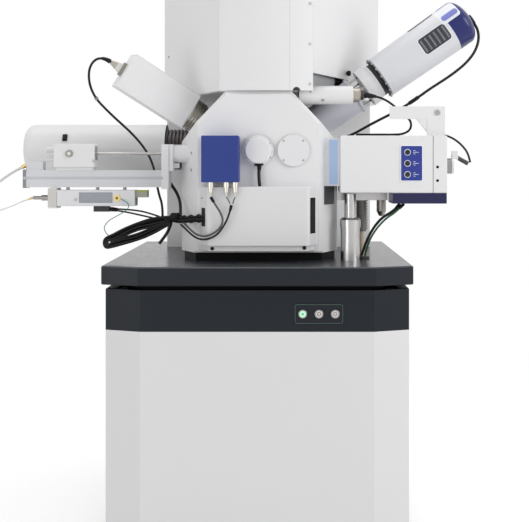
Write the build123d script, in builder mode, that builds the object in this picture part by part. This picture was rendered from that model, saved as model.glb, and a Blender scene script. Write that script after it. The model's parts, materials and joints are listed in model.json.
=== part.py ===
from build123d import *
from math import cos, pi, radians, sin, tan
import os

os.makedirs("parts", exist_ok=True)

# Fits and general sizes
clearance = 0.3
running_gap = 0.05
sheet = 3.0

# Table and plinth
table_width = 826.0
table_depth = 900.0
table_top_height = 790.0
table_thickness = 50.0
table_front_facet = 624.0
table_facet_drop = 37.0
table_edge = 2.5
table_gap = 12.0
plinth_inset = 10.0
plinth_bottom = 70.0
band_height = 108.5
foot_height = 30.0
foot_radius = 36.0
foot_stem_radius = 8.0
chassis_height = 40.0
post_side = 40.0
beam_height = 40.0
beam_width = 100.0
air_mount_height = 58.0
air_mount_radius = 48.0
deck_thickness = 34.0
panel_depth = 28.0
panel_return = 20.0
chassis_bay = 170.0
air_mount_x = 265.0
deck_inset = 64.0
deck_hole_gap = 6.0
turbo_radius = 75.0
turbo_offset_y = 70.0
turbo_length = 210.0
vent_height = 120.0
vent_pitch = 60.0
vent_slot = 6.0
rack_width = 483.0
rack_depth = 560.0
rack_height = 460.0
rack_units = 5
rack_x = -90.0
rack_y = -20.0
pump_x = 260.0
pump_y = -20.0
pump_radius = 70.0
pump_length = 320.0
pump_base = 24.0

# Power buttons
button_radius = 11.6
button_pitch = 42.6
button_centre_x = 162.3
button_centre_z = 666.6
button_proud = 3.0
button_depth = 22.0
button_panel_width = 130.0
button_panel_height = 54.0
button_panel_thickness = 1.5
button_rim = 3.4

# Specimen chamber
chamber_front_y = -272.0
chamber_back_y = 200.0
chamber_front_half = 180.0
chamber_half_width = 223.0
chamber_facet_depth = 87.0
chamber_bottom = 813.0
chamber_top = 1261.0
chamber_roof_half = 92.0
shoulder_drop = 138.0
chamber_wall = 28.0
mouth_half_width = 138.0
mouth_bottom = 846.0
mouth_shoulder = 1165.0
mouth_top = 1224.0
column_y = -120.0
lens_bore_radius = 75.0
base_inset = 8.0
mouth_top_half = 82.0
port_gap = 2.0
eds_port_reach = 340.0
lens_beam_radius = 4.0
lens_tip_radius = 15.0
lens_tip_z = 1105.0
lens_cone_top = 1176.0

# Door and its cover
door_thickness = 23.0
door_front_half = 168.0
door_bottom = 818.0
door_bevel = 9.0
cover_height = 160.0
cover_bottom = 838.0
cover_projection = 55.0
cover_half_width = 162.0
cover_front_half = 138.0
lip_projection = 44.0
lip_bottom = 822.0
grip_bottom = 870.0
grip_height = 97.0
outlet_y = -322.0
outlet_z = 914.0
outlet_side = 28.0
outlet_height = 50.0
outlet_floor_x = 128.0
grip_front_y = -341.0
grip_back_y = -307.0
grip_wall = 2.0
grip_floor_x = 116.0
port_centre_z = 1097.0
camera_x = -1.0
camera_ring_radius = 44.0
camera_cap_radius = 37.0
camera_projection = 25.0
blank_x = 97.0
blank_radius = 44.6
blank_thickness = 8.0
box_left = -152.4
box_width = 101.4
box_bottom = 1010.0
box_height = 126.0
box_depth = 76.0
box_plug_places = (-127.0, -85.0, -61.0)
box_plug_y = -361.0

# Column tower
tower_bottom = 1263.0
tower_top = 1800.0
tower_front_y = -285.0
tower_front_left = -108.6
tower_front_right = 151.0
tower_back_y = 440.0
tower_shoulder_y = 212.0
tower_left = -320.0
tower_right = 377.0
tower_bulge = 22.0
tower_plate = 8.0
tower_cap = 14.0
plate_front_right = 110.0
column_flange_radius = 86.0
column_radius = 62.0
column_height = 370.0
gun_radius = 58.0
gun_height = 140.0
right_notch_height = 50.0
right_notch_back_y = -40.0
cabinet_left = -312.0
cabinet_right = 350.0

# Side housing and the retractable detector on the left
housing_radius = 77.0
housing_y = 28.0
housing_z = 1104.0
housing_left = -721.0
housing_right = -290.0
bsd_y = -215.0
bsd_rod_z = 1089.0
bsd_rod_radius = 4.0
bsd_plate_left = -274.0
bsd_plate_right = -254.0
bsd_plate_bottom = 989.0
bsd_plate_top = 1115.0
bsd_stub_radius = 25.5
bsd_rail_left = -658.0
bsd_rail_bottom = 994.0
bsd_rail_height = 48.0
bsd_rail_width = 44.0
bsd_carriage_left = -578.0
bsd_carriage_length = 115.0
bsd_carriage_bottom = 1050.0
bsd_carriage_height = 66.0
preamp_left = -570.0
preamp_length = 221.0
preamp_bottom = 941.0
preamp_height = 45.0
housing_round = 30.0
housing_flange_radius = 62.0
housing_ribs = 6
bsd_block_right = -242.0
bsd_block_bottom = 1040.0
bsd_groove = 12.0
bsd_groove_depth = 6.0
bsd_slider_depth = 60.0
bsd_tip_x = -150.0
bsd_sensor_radius = 12.0
bsd_sensor_thickness = 8.0
preamp_depth = 56.0
standoff_radius = 5.0
plug_radius = 8.0

# Secondary electron detector box
se_tilt = 31.4
se_roll = 11.0
se_yaw = 9.0
se_origin = (-208.0, -146.0, 1212.0)
se_length = 222.0
se_width = 108.0
se_depth = 86.0
se_stack_radius = 46.0
se_stack_length = 52.0
se_rib_count = 5
se_rib_pitch = 8.0
se_plug_offset = 0.0
se_plug_length = 42.0

# Horizontal detector tube on the right shoulder
vpse_y = -235.0
vpse_z = 1254.0
vpse_radius = 26.0
vpse_left = 113.0
vpse_right = 265.0

# X-ray detector, along an axis that rises to the right
eds_angle = 35.0
eds_origin = (350.5, column_y, 1311.6)
eds_start_radius = 63.0
eds_radius = 67.5
eds_length = 262.0
eds_cap_length = 55.0
eds_rod_radius = 3.0
eds_rod_circle = 54.0
eds_snout_radius = 15.0
eds_adaptor_end = -86.0
eds_disc_start = -55.0
eds_disc_thickness = 28.0
eds_adaptor_length = 270.0
eds_cone_small = 46.0
eds_cone_large = 52.0
eds_rod_count = 4
eds_rod_length = 96.0
eds_snout_length = 275.0
grille_depth = 7.0
grille_slat = 4.5
grille_length = 90.0
grille_width = 50.0
grille_centre = 187.0
grille_slats = 7

# Diffraction camera on the right
ebsd_flange_right = 225.7
ebsd_flange_front_y = -264.0
ebsd_flange_back_y = -190.0
ebsd_flange_bottom = 998.0
ebsd_flange_top = 1132.0
ebsd_left = 226.0
ebsd_right = 521.0
ebsd_seam_x = 482.0
ebsd_front_y = -300.0
ebsd_back_y = -170.0
ebsd_bottom = 980.0
ebsd_top = 1138.0
ebsd_arm_radius = 20.0
ebsd_arm_z = 1058.0
ebsd_arm_y = -230.0
ebsd_arm_tip = 152.0
label_left = 391.5
label_width = 61.5
label_bottom = 1012.0
label_height = 99.0
label_thickness = 2.0
label_button_x = 411.0
label_button_radius = 6.0
label_button_pitch = 30.6
label_button_top_z = 1091.8
side_socket_radius = 22.0
side_socket_length = 27.0
side_socket_z = 1054.0
side_plug_z = 1086.0
side_plug_radius = 6.0
side_plug_length = 52.0
underbox_left = 371.0
underbox_bottom = 950.0
bracket_left = 365.0
bracket_leg_left = 469.0
bracket_top = 1220.0
bracket_arm_bottom = 1185.0
bracket_y = -270.0
bracket_thickness = 5.0

# Pump-out pipes under the diffraction camera
riser_x = 257.0
riser_y = -240.0
riser_foot_radius = 27.0
riser_foot_top = 882.0
riser_clamp_top = 909.0
riser_radius = 16.5
riser_top = 976.0
manifold_y = -150.0
manifold_depth = 36.0
manifold_bottom = 955.0
manifold_top = 977.0
manifold_right = 370.0
bellows_x = 295.5
bellows_radius = 18.0
bellows_bottom = 864.0
bellows_pitch = 8.0
drain_radius = 9.0
probe_x = 353.0
probe_radius = 13.8
probe_bottom = 909.0
grommet_x = 296.0
grommet_y = -203.5
grommet_radius = 18.0
grommet_height = 6.0

# Bundle of cords at the knot, its leaf-shaped hank, and the coil of hose
bundle_radius = 12.0
bundle_route = [
    (-270, -246, 900),
    (-232, -268, 903),
    (-204, -286, 905),
    (-176, -308, 908),
    (-148, -322, 911),
]
hank_y = -240.0
hank_thickness = 26.0
hank_outline = [
    (-262, 912),
    (-306, 901),
    (-350, 888),
    (-392, 873),
    (-421, 857),
    (-438, 844),
    (-434, 828),
    (-407, 822),
    (-336, 841),
    (-262, 884),
]
tail_route = [(-246, -256, 894), (-252, -250, 876), (-262, -249, 858), (-272, -250, 846)]
tail_diameter = 10.0
coil_x = -872.0
coil_y = -212.0
coil_z = 918.0
coil_radius = 62.0
coil_thickness = 9.0

# Specimen stage
stage_base_bottom = 850.0
stage_base_thickness = 12.0
stage_rail_height = 8.0
stage_rail_width = 14.0
stage_plate = 16.0
stage_y_travel = 45.0
stage_x_travel = 45.0
stage_z_travel = 40.0
yoke_half_width = 80.0
yoke_arm_inner = 50.0
yoke_arm_outer = 62.0
guide_post_x = 71.0
guide_post_radius = 5.0
tilt_axis_z = 975.0
pivot_radius = 5.0
cradle_half_width = 48.0
turntable_radius = 30.0
stub_bore_radius = 1.6
stub_bore_depth = 9.0
stage_base_half = 100.0
stage_base_back_y = 10.0
stage_web_height = 72.0
stage_rail_x = 60.0
stage_rail_half = 112.0
y_carriage_half_x = 85.0
y_carriage_half_y = 62.0
x_rail_y = 24.0
x_carriage_half_y = 40.0
guide_post_height = 66.0
yoke_boss_radius = 12.0
cradle_drop = 37.0
cradle_floor = 10.0
cradle_half_length = 28.0
cradle_ear = 7.0
turntable_shaft = 5.0
turntable_thickness = 8.0
stub_holder_radius = 8.0
stub_holder_top = 966.0


def outline(points):
    """The closed flat face through these plan points."""
    with BuildSketch() as flat:
        with BuildLine():
            Polyline(*points, close=True)
        make_face()
    return flat.sketch


def console_plan(half_width, half_facet, front_y, side_y, back_y):
    """The plan of the console: a flat front with a slanted facet on each side."""
    return outline(
        [
            (-half_width, back_y),
            (-half_width, side_y),
            (-half_facet, front_y),
            (half_facet, front_y),
            (half_width, side_y),
            (half_width, back_y),
        ]
    )


# Diameters of the cords
se_cable_diameter = 7
left_drop_cable_diameter = 9
preamp_lead_a_diameter = 5
preamp_lead_b_diameter = 5
teal_wire_diameter = 2.4
door_cable_a_diameter = 5.5
door_cable_b_diameter = 5.5
door_twig_a_diameter = 3
door_twig_b_diameter = 3
camera_lead_diameter = 9
eds_cable_diameter = 8
vpse_cable_diameter = 6.5
ebsd_side_cable_diameter = 6
tank_lead_a_diameter = 8
tank_lead_b_diameter = 6
air_hose_diameter = 7
coax_lead_diameter = 3

# Heights that follow from the sizes above
table_bottom = table_top_height - table_thickness
plinth_top = table_bottom - table_gap
band_bottom = plinth_top - band_height
table_front_y = -table_depth / 2
plinth_half = table_width / 2 - plinth_inset
plinth_front_y = table_front_y + plinth_inset
plinth_side_y = plinth_front_y + table_facet_drop
plinth_half_facet = table_front_facet / 2 - plinth_inset / 2
plinth_back_y = table_depth / 2 - plinth_inset
panel_return_y = plinth_side_y + panel_return
chassis_top = foot_height + chassis_height
deck_bottom = table_bottom - deck_thickness
beam_top = deck_bottom - air_mount_height
post_x = plinth_half - panel_depth - post_side / 2
post_front_y = plinth_side_y + panel_depth + post_side / 2
post_back_y = plinth_back_y - panel_depth - post_side / 2
beam_places = [
    post_front_y - post_side / 2 + beam_width / 2,
    post_back_y + post_side / 2 - beam_width / 2,
]
post_places = [(x, y) for x in (-post_x, post_x) for y in (post_front_y, post_back_y)]


def facet_y(x):
    """Depth of the slanted front facet's outer face at x, right of the middle."""
    run = plinth_half - plinth_half_facet
    return plinth_front_y + (x - plinth_half_facet) * table_facet_drop / run


def faceted_front(bottom, height):
    """A folded front sheet with a short return along each side and a stiffener in front of each post."""
    rib_left = post_x - post_side / 4
    rib_right = post_x + post_side / 4
    with BuildPart() as folded:
        with BuildSketch(Plane.XY.offset(bottom)):
            add(
                console_plan(
                    plinth_half,
                    plinth_half_facet,
                    plinth_front_y,
                    plinth_side_y,
                    panel_return_y,
                )
            )
            offset(amount=-sheet, kind=Kind.INTERSECTION, mode=Mode.SUBTRACT)
            with Locations((0, panel_return_y)):
                Rectangle(2 * (plinth_half - sheet), 4 * sheet, mode=Mode.SUBTRACT)
            with BuildLine():
                Polyline(
                    (rib_left, facet_y(rib_left) + sheet),
                    (rib_right, facet_y(rib_right) + sheet),
                    (rib_right, post_front_y - post_side / 2),
                    (rib_left, post_front_y - post_side / 2),
                    close=True,
                )
            make_face()
            with BuildLine():
                Polyline(
                    (-rib_left, facet_y(rib_left) + sheet),
                    (-rib_right, facet_y(rib_right) + sheet),
                    (-rib_right, post_front_y - post_side / 2),
                    (-rib_left, post_front_y - post_side / 2),
                    close=True,
                )
            make_face()
        extrude(amount=height)
    return folded.part


def side_cassette(side, bottom, height):
    """A side panel folded into a shallow tray, its rim against the posts; side is -1 or 1."""
    length = plinth_back_y - panel_return_y
    middle = (plinth_back_y + panel_return_y) / 2
    with BuildPart() as tray:
        with Locations((side * (plinth_half - panel_depth / 2), middle, bottom + height / 2)):
            Box(panel_depth, length, height)
        with Locations(
            (side * (plinth_half - panel_depth / 2 - sheet), middle, bottom + height / 2)
        ):
            Box(panel_depth, length - 2 * sheet, height - 2 * sheet, mode=Mode.SUBTRACT)
    return tray.part


# Levelling feet under the chassis
with BuildPart() as levelling_feet:
    with Locations(*[(x, y, 0) for x, y in post_places]):
        Cone(
            foot_radius,
            foot_radius * 0.55,
            foot_height / 3,
            align=(Align.CENTER, Align.CENTER, Align.MIN),
        )
        Cylinder(
            foot_stem_radius,
            foot_height,
            align=(Align.CENTER, Align.CENTER, Align.MIN),
        )
levelling_feet.part.label = "levelling_feet"
export_step(levelling_feet.part, "parts/levelling_feet.step")

# Chassis: a shallow welded tray that stands on the feet, hollow underneath between its ribs
with BuildPart() as base_chassis:
    with BuildSketch(Plane.XY.offset(foot_height)):
        add(
            console_plan(
                plinth_half - panel_depth,
                plinth_half_facet - panel_depth / 2,
                plinth_front_y + panel_depth,
                plinth_side_y + panel_depth,
                plinth_back_y - panel_depth,
            )
        )
    extrude(amount=chassis_height)
    with Locations(
        *[(x, y, foot_height) for x in (-chassis_bay, chassis_bay) for y in (-chassis_bay, chassis_bay)]
    ):
        Box(
            2 * chassis_bay - 60,
            2 * chassis_bay - 60,
            chassis_height - 2 * sheet,
            align=(Align.CENTER, Align.CENTER, Align.MIN),
            mode=Mode.SUBTRACT,
        )
base_chassis.part.label = "base_chassis"
export_step(base_chassis.part, "parts/base_chassis.step")

# Corner posts of square tube
with BuildPart() as corner_posts:
    with BuildSketch(Plane.XY.offset(chassis_top)):
        with Locations(*post_places):
            Rectangle(post_side, post_side)
            Rectangle(post_side - 2 * sheet, post_side - 2 * sheet, mode=Mode.SUBTRACT)
    extrude(amount=beam_top - chassis_top)

# Two beams between the posts carry the air mounts
with BuildPart() as support_frame:
    add(corner_posts.part)
    for beam_y in beam_places:
        with Locations((0, beam_y, beam_top - beam_height / 2)):
            Box(2 * post_x - post_side, beam_width, beam_height)
support_frame.part.label = "support_frame"
export_step(support_frame.part, "parts/support_frame.step")

# Air mounts: rubber bellows between two steel ends
with BuildPart() as one_mount:
    with BuildSketch(Plane.XZ):
        with BuildLine():
            foot = Polyline(
                (0, 0),
                (air_mount_radius * 0.8, 0),
                (air_mount_radius * 0.8, air_mount_height * 0.15),
            )
            lower = ThreePointArc(
                foot @ 1,
                (air_mount_radius, air_mount_height * 0.3),
                (air_mount_radius * 0.85, air_mount_height * 0.5),
            )
            upper = ThreePointArc(
                lower @ 1,
                (air_mount_radius, air_mount_height * 0.7),
                (air_mount_radius * 0.8, air_mount_height * 0.85),
            )
            Polyline(
                upper @ 1,
                (air_mount_radius * 0.8, air_mount_height),
                (0, air_mount_height),
                (0, 0),
            )
        make_face()
    revolve(axis=Axis.Z)
with BuildPart() as air_mounts:
    with Locations(
        *[
            (x, y, beam_top)
            for x in (-air_mount_x, air_mount_x)
            for y in beam_places
        ]
    ):
        add(one_mount.part)
air_mounts.part.label = "air_mounts"
export_step(air_mounts.part, "parts/air_mounts.step")

# Steel deck on the air mounts, under the table
with BuildPart() as isolation_deck:
    with BuildSketch(Plane.XY.offset(deck_bottom)):
        add(
            console_plan(
                plinth_half - deck_inset,
                plinth_half_facet - deck_inset / 2,
                plinth_front_y + deck_inset / 2,
                plinth_side_y + deck_inset / 2,
                plinth_back_y - deck_inset / 2,
            )
        )
        with Locations((0, column_y + turbo_offset_y)):
            Circle(turbo_radius + deck_hole_gap, mode=Mode.SUBTRACT)
    extrude(amount=deck_thickness)
isolation_deck.part.label = "isolation_deck"
export_step(isolation_deck.part, "parts/isolation_deck.step")

# Table top: a thick slab with the three-facet front
with BuildPart() as table_top:
    with BuildSketch(Plane.XY.offset(table_bottom)):
        add(
            console_plan(
                table_width / 2,
                table_front_facet / 2,
                table_front_y,
                table_front_y + table_facet_drop,
                table_depth / 2,
            )
        )
        with Locations((0, column_y + turbo_offset_y)):
            Circle(turbo_radius + clearance, mode=Mode.SUBTRACT)
    extrude(amount=table_thickness)
    top_rim = table_top.faces().sort_by(Axis.Z)[-1].outer_wire().edges()
    bottom_rim = table_top.faces().sort_by(Axis.Z)[0].outer_wire().edges()
    chamfer(top_rim + bottom_rim, table_edge)
table_top.part.label = "table_top"
export_step(table_top.part, "parts/table_top.step")

# Plinth panels: front, sides and back, and the dark band above them
with BuildPart() as front_panel:
    add(faceted_front(plinth_bottom, band_bottom - plinth_bottom))
front_panel.part.label = "front_panel"
export_step(front_panel.part, "parts/front_panel.step")

with BuildPart() as left_panel:
    add(side_cassette(-1, plinth_bottom, band_bottom - plinth_bottom))

with BuildPart() as right_panel:
    add(side_cassette(1, plinth_bottom, band_bottom - plinth_bottom))

with BuildPart() as side_panels:
    add(left_panel.part)
    add(right_panel.part)
side_panels.part.label = "side_panels"
export_step(side_panels.part, "parts/side_panels.step")

with BuildPart() as side_bands:
    add(side_cassette(-1, band_bottom, band_height))
    add(side_cassette(1, band_bottom, band_height))

with BuildPart() as rear_panel:
    with Locations((0, plinth_back_y - panel_depth / 2, (plinth_bottom + plinth_top) / 2)):
        Box(2 * (plinth_half - panel_depth), panel_depth, plinth_top - plinth_bottom)
    with Locations(
        (0, plinth_back_y - panel_depth / 2 - sheet, (plinth_bottom + plinth_top) / 2)
    ):
        Box(
            2 * (plinth_half - panel_depth - sheet),
            panel_depth,
            plinth_top - plinth_bottom - 2 * sheet,
            mode=Mode.SUBTRACT,
        )
    with Locations((0, plinth_back_y, plinth_bottom + vent_height)):
        with GridLocations(vent_pitch, vent_pitch / 2, 9, 5):
            Box(
                vent_pitch - 10,
                3 * sheet,
                vent_slot,
                mode=Mode.SUBTRACT,
                rotation=(0, 0, 0),
            )
rear_panel.part.label = "rear_panel"
export_step(rear_panel.part, "parts/rear_panel.step")

# Front band with the hole for the row of power buttons
button_places = [button_centre_x + i * button_pitch for i in (-1, 0, 1)]
with BuildPart() as control_band:
    add(side_bands.part)
    add(faceted_front(band_bottom, band_height))
    with BuildSketch(Plane.XZ.offset(-plinth_front_y - 2 * sheet)):
        with Locations((button_centre_x, button_centre_z)):
            RectangleRounded(2 * button_pitch + 2 * button_radius + 4, 2 * button_radius + 4, 4)
    extrude(amount=4 * sheet, mode=Mode.SUBTRACT)
control_band.part.label = "control_band"
export_step(control_band.part, "parts/control_band.step")

# Button panel: a thin plate on the band with a raised rim round each button
with BuildPart() as button_panel:
    with BuildSketch(Plane.XZ.offset(-plinth_front_y)):
        with Locations((button_centre_x, button_centre_z)):
            RectangleRounded(button_panel_width, button_panel_height, 5)
    extrude(amount=button_panel_thickness)
    with BuildSketch(Plane.XZ.offset(-plinth_front_y)):
        with Locations(*[(x, button_centre_z) for x in button_places]):
            Circle(button_radius + clearance + button_rim)
    extrude(amount=button_panel_thickness + 1.2)
    with BuildSketch(Plane.XZ.offset(-plinth_front_y - 4)):
        with Locations(*[(x, button_centre_z) for x in button_places]):
            Circle(button_radius + clearance)
    extrude(amount=12, mode=Mode.SUBTRACT)
button_panel.part.label = "button_panel"
export_step(button_panel.part, "parts/button_panel.step")


def power_button(x):
    """A round push button that slides back through the panel."""
    with BuildPart() as button:
        with BuildSketch(Plane.XZ.offset(-plinth_front_y + button_panel_thickness + button_proud)):
            with Locations((x, button_centre_z)):
                Circle(button_radius)
        extrude(amount=-button_depth)
        fillet(button.faces().sort_by(Axis.Y)[0].edges(), 1.2)
    return button.part


with BuildPart() as power_button_on:
    add(power_button(button_places[0]))
power_button_on.part.label = "power_button_on"
export_step(power_button_on.part, "parts/power_button_on.step")

with BuildPart() as power_button_standby:
    add(power_button(button_places[1]))
power_button_standby.part.label = "power_button_standby"
export_step(power_button_standby.part, "parts/power_button_standby.step")

with BuildPart() as power_button_off:
    add(power_button(button_places[2]))
power_button_off.part.label = "power_button_off"
export_step(power_button_off.part, "parts/power_button_off.step")

# Electronics rack and backing pump on the chassis
with BuildPart() as electronics_rack:
    with Locations((rack_x, rack_y, chassis_top)):
        Box(
            rack_width,
            rack_depth,
            rack_height,
            align=(Align.CENTER, Align.CENTER, Align.MIN),
        )
    with Locations((rack_x, rack_y - rack_depth / 2, chassis_top + rack_height / 2)):
        with GridLocations(1, rack_height / rack_units, 1, rack_units):
            Box(rack_width - 40, 24, rack_height / rack_units - 12, mode=Mode.SUBTRACT)
electronics_rack.part.label = "electronics_rack"
export_step(electronics_rack.part, "parts/electronics_rack.step")

with BuildPart() as backing_pump:
    with Locations((pump_x, pump_y, chassis_top)):
        Box(
            2 * pump_radius,
            pump_length,
            pump_base,
            align=(Align.CENTER, Align.CENTER, Align.MIN),
        )
    with Locations((pump_x, pump_y, chassis_top + pump_base + pump_radius * 0.9)):
        Cylinder(pump_radius, pump_length, rotation=(90, 0, 0))
    with BuildSketch(Plane.XZ.offset(-pump_y)):
        with Locations((pump_x, chassis_top + pump_base + pump_radius * 0.9)):
            Circle(pump_radius + 2)
            Circle(pump_radius - 12, mode=Mode.SUBTRACT)
    extrude(amount=pump_length * 0.2, both=True)
    with Locations((pump_x, pump_y - pump_length * 0.3, chassis_top + pump_base + 1.8 * pump_radius)):
        Cylinder(20, 60)
backing_pump.part.label = "backing_pump"
export_step(backing_pump.part, "parts/backing_pump.step")

# Turbo pump under the chamber, through the hole in the table
turbo_y = column_y + turbo_offset_y
with BuildPart() as turbo_pump:
    with BuildSketch(Plane.XZ.offset(-turbo_y)):
        with BuildLine():
            Polyline(
                (0, chamber_bottom - turbo_length),
                (turbo_radius * 0.55, chamber_bottom - turbo_length),
                (turbo_radius * 0.55, chamber_bottom - turbo_length * 0.72),
                (turbo_radius * 0.85, chamber_bottom - turbo_length * 0.66),
                (turbo_radius * 0.85, chamber_bottom - turbo_length * 0.4),
                (turbo_radius, chamber_bottom - turbo_length * 0.36),
                (turbo_radius, chamber_bottom),
                (0, chamber_bottom),
                close=True,
            )
        make_face()
    revolve(axis=Axis((0, turbo_y, 0), (0, 0, 1)))
turbo_pump.part.label = "turbo_pump"
export_step(turbo_pump.part, "parts/turbo_pump.step")

# Chamber plan and the lines of its sloping shoulders
chamber_facet_y = chamber_front_y + chamber_facet_depth
shoulder_bottom = chamber_top - shoulder_drop
shoulder_run = chamber_half_width - chamber_roof_half
facet_slope = (chamber_half_width - chamber_front_half) / chamber_facet_depth


def chamber_plan(inset, front_y, back_y):
    """The chamber's plan, drawn in by inset, from front_y back to back_y."""
    half = chamber_half_width - inset
    front = chamber_front_half + (front_y - chamber_front_y) * facet_slope - inset
    return outline(
        [
            (-half, back_y),
            (-half, chamber_facet_y),
            (-front, front_y),
            (front, front_y),
            (half, chamber_facet_y),
            (half, back_y),
        ]
    )


def shoulder_profile(inset, bottom):
    """The chamber seen from the front, with its sloping shoulders, drawn in by inset."""
    slope = shoulder_run / shoulder_drop
    along = inset * (1 + slope**2) ** 0.5
    roof = chamber_top - inset
    roof_half = chamber_roof_half + inset * slope - along
    half = chamber_half_width - inset
    eave = roof - (half - roof_half) / slope
    return outline(
        [
            (-half, bottom),
            (half, bottom),
            (half, eave),
            (roof_half, roof),
            (-roof_half, roof),
            (-half, eave),
        ]
    )


def shoulder_x(z):
    """Half the chamber's width at height z, on its sloping shoulders."""
    return chamber_roof_half + (chamber_top - z) * shoulder_run / shoulder_drop


# Directions of the slanted detectors
eds_out = (cos(radians(eds_angle)), 0, sin(radians(eds_angle)))
eds_plane = Plane(origin=eds_origin, x_dir=(0, 1, 0), z_dir=eds_out)
se_out = (
    -cos(radians(se_tilt)) * cos(radians(se_yaw)),
    -sin(radians(se_yaw)),
    sin(radians(se_tilt)) * cos(radians(se_yaw)),
)
se_side = (-sin(radians(se_tilt)), 0, -cos(radians(se_tilt)))
se_plane = Plane(origin=se_origin, x_dir=se_side, z_dir=se_out).rotated((0, 0, se_roll))

# Black base block between the table and the chamber
with BuildPart() as chamber_base:
    with BuildSketch(Plane.XY.offset(table_top_height)):
        add(chamber_plan(base_inset, chamber_front_y + base_inset, chamber_back_y - base_inset))
        with Locations((0, turbo_y)):
            Circle(turbo_radius + clearance, mode=Mode.SUBTRACT)
    extrude(amount=chamber_bottom - table_top_height)
chamber_base.part.label = "chamber_base"
export_step(chamber_base.part, "parts/chamber_base.step")

# Specimen chamber: a thick box with slanted front corners, sloping shoulders and an open mouth
with BuildPart() as chamber_cavity:
    with BuildSketch(Plane.XY.offset(chamber_bottom + chamber_wall)):
        add(
            chamber_plan(
                chamber_wall,
                chamber_front_y + chamber_wall,
                chamber_back_y - chamber_wall,
            )
        )
    extrude(amount=chamber_top - chamber_bottom - 2 * chamber_wall)
    with BuildSketch(Plane.XZ.offset(-chamber_back_y)):
        add(shoulder_profile(chamber_wall, chamber_bottom + chamber_wall))
    extrude(amount=chamber_back_y - chamber_front_y, mode=Mode.INTERSECT)

with BuildPart() as chamber_body:
    with BuildSketch(Plane.XY.offset(chamber_bottom)):
        add(chamber_plan(0, chamber_front_y, chamber_back_y))
    extrude(amount=chamber_top - chamber_bottom)
    with BuildSketch(Plane.XZ.offset(-chamber_back_y)):
        add(shoulder_profile(0, chamber_bottom))
    extrude(amount=chamber_back_y - chamber_front_y, mode=Mode.INTERSECT)
    add(chamber_cavity.part, mode=Mode.SUBTRACT)
    with BuildSketch(Plane.XZ.offset(-chamber_front_y - chamber_wall - 1)):
        add(
            outline(
                [
                    (-mouth_half_width, mouth_bottom),
                    (mouth_half_width, mouth_bottom),
                    (mouth_half_width, mouth_shoulder),
                    (mouth_top_half, mouth_top),
                    (-mouth_top_half, mouth_top),
                    (-mouth_half_width, mouth_shoulder),
                ]
            )
        )
    extrude(amount=chamber_wall + 2, mode=Mode.SUBTRACT)
    with Locations((0, column_y, chamber_top - chamber_wall / 2)):
        Cylinder(lens_bore_radius, 2 * chamber_wall, mode=Mode.SUBTRACT)
    with Locations((0, turbo_y, chamber_bottom + chamber_wall / 2)):
        Cylinder(turbo_radius * 0.8, 2 * chamber_wall, mode=Mode.SUBTRACT)
    with BuildSketch(eds_plane):
        Circle(eds_snout_radius + port_gap)
    extrude(amount=-eds_port_reach, mode=Mode.SUBTRACT)
    with Locations((chamber_half_width, ebsd_arm_y, ebsd_arm_z)):
        Cylinder(
            ebsd_arm_radius + port_gap,
            6 * chamber_wall,
            rotation=(0, 90, 0),
            mode=Mode.SUBTRACT,
        )
    with Locations((-chamber_half_width, bsd_y, bsd_rod_z)):
        Cylinder(
            bsd_rod_radius + port_gap,
            4 * chamber_wall,
            rotation=(0, 90, 0),
            mode=Mode.SUBTRACT,
        )
chamber_body.part.label = "chamber_body"
export_step(chamber_body.part, "parts/chamber_body.step")

# Objective lens: a cone that hangs through the roof over the specimen
with BuildPart() as pole_piece:
    with BuildSketch(Plane.XZ.offset(-column_y)):
        with BuildLine():
            Polyline(
                (lens_beam_radius, lens_tip_z),
                (lens_tip_radius, lens_tip_z),
                (lens_bore_radius * 0.8, lens_cone_top),
                (lens_bore_radius - clearance, lens_cone_top + 18),
                (lens_bore_radius - clearance, chamber_top),
                (lens_beam_radius, chamber_top),
                close=True,
            )
        make_face()
    revolve(axis=Axis((0, column_y, 0), (0, 0, 1)))
pole_piece.part.label = "pole_piece"
export_step(pole_piece.part, "parts/pole_piece.step")

# Electron column on the chamber roof, with the gun head above it
with BuildPart() as column_tube:
    with BuildSketch(Plane.XZ.offset(-column_y)):
        with BuildLine():
            Polyline(
                (lens_beam_radius, chamber_top),
                (column_flange_radius, chamber_top),
                (column_flange_radius, chamber_top + 26),
                (column_radius, chamber_top + 34),
                (column_radius, chamber_top + column_height * 0.45),
                (column_radius + 12, chamber_top + column_height * 0.46),
                (column_radius + 12, chamber_top + column_height * 0.6),
                (column_radius - 14, chamber_top + column_height * 0.66),
                (column_radius - 14, chamber_top + column_height),
                (lens_beam_radius, chamber_top + column_height),
                close=True,
            )
        make_face()
    revolve(axis=Axis((0, column_y, 0), (0, 0, 1)))

gun_bottom = chamber_top + column_height
with BuildPart() as electron_column:
    add(column_tube.part)
    with Locations((0, column_y, gun_bottom)):
        Cylinder(gun_radius, gun_height, align=(Align.CENTER, Align.CENTER, Align.MIN))
    with Locations((0, column_y, gun_bottom + gun_height * 0.3)):
        Cylinder(gun_radius + 14, 16)
    with Locations((0, column_y + gun_radius + 40, gun_bottom + gun_height / 2)):
        Box(110, 90, gun_height * 0.7)
    fillet(electron_column.faces().sort_by(Axis.Z)[-1].edges(), 8)
electron_column.part.label = "electron_column"
export_step(electron_column.part, "parts/electron_column.step")

# Tower: a base plate, a curved front cover, two flat side covers, a rear housing and a cap
tower_plate_top = tower_bottom + tower_plate


def cover_line(side, y):
    """X of a side cover's outer face at depth y; side is -1 or 1."""
    near = tower_front_left if side < 0 else tower_front_right
    far = tower_left if side < 0 else tower_right
    return near + (y - tower_front_y) * (far - near) / (tower_shoulder_y - tower_front_y)


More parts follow.
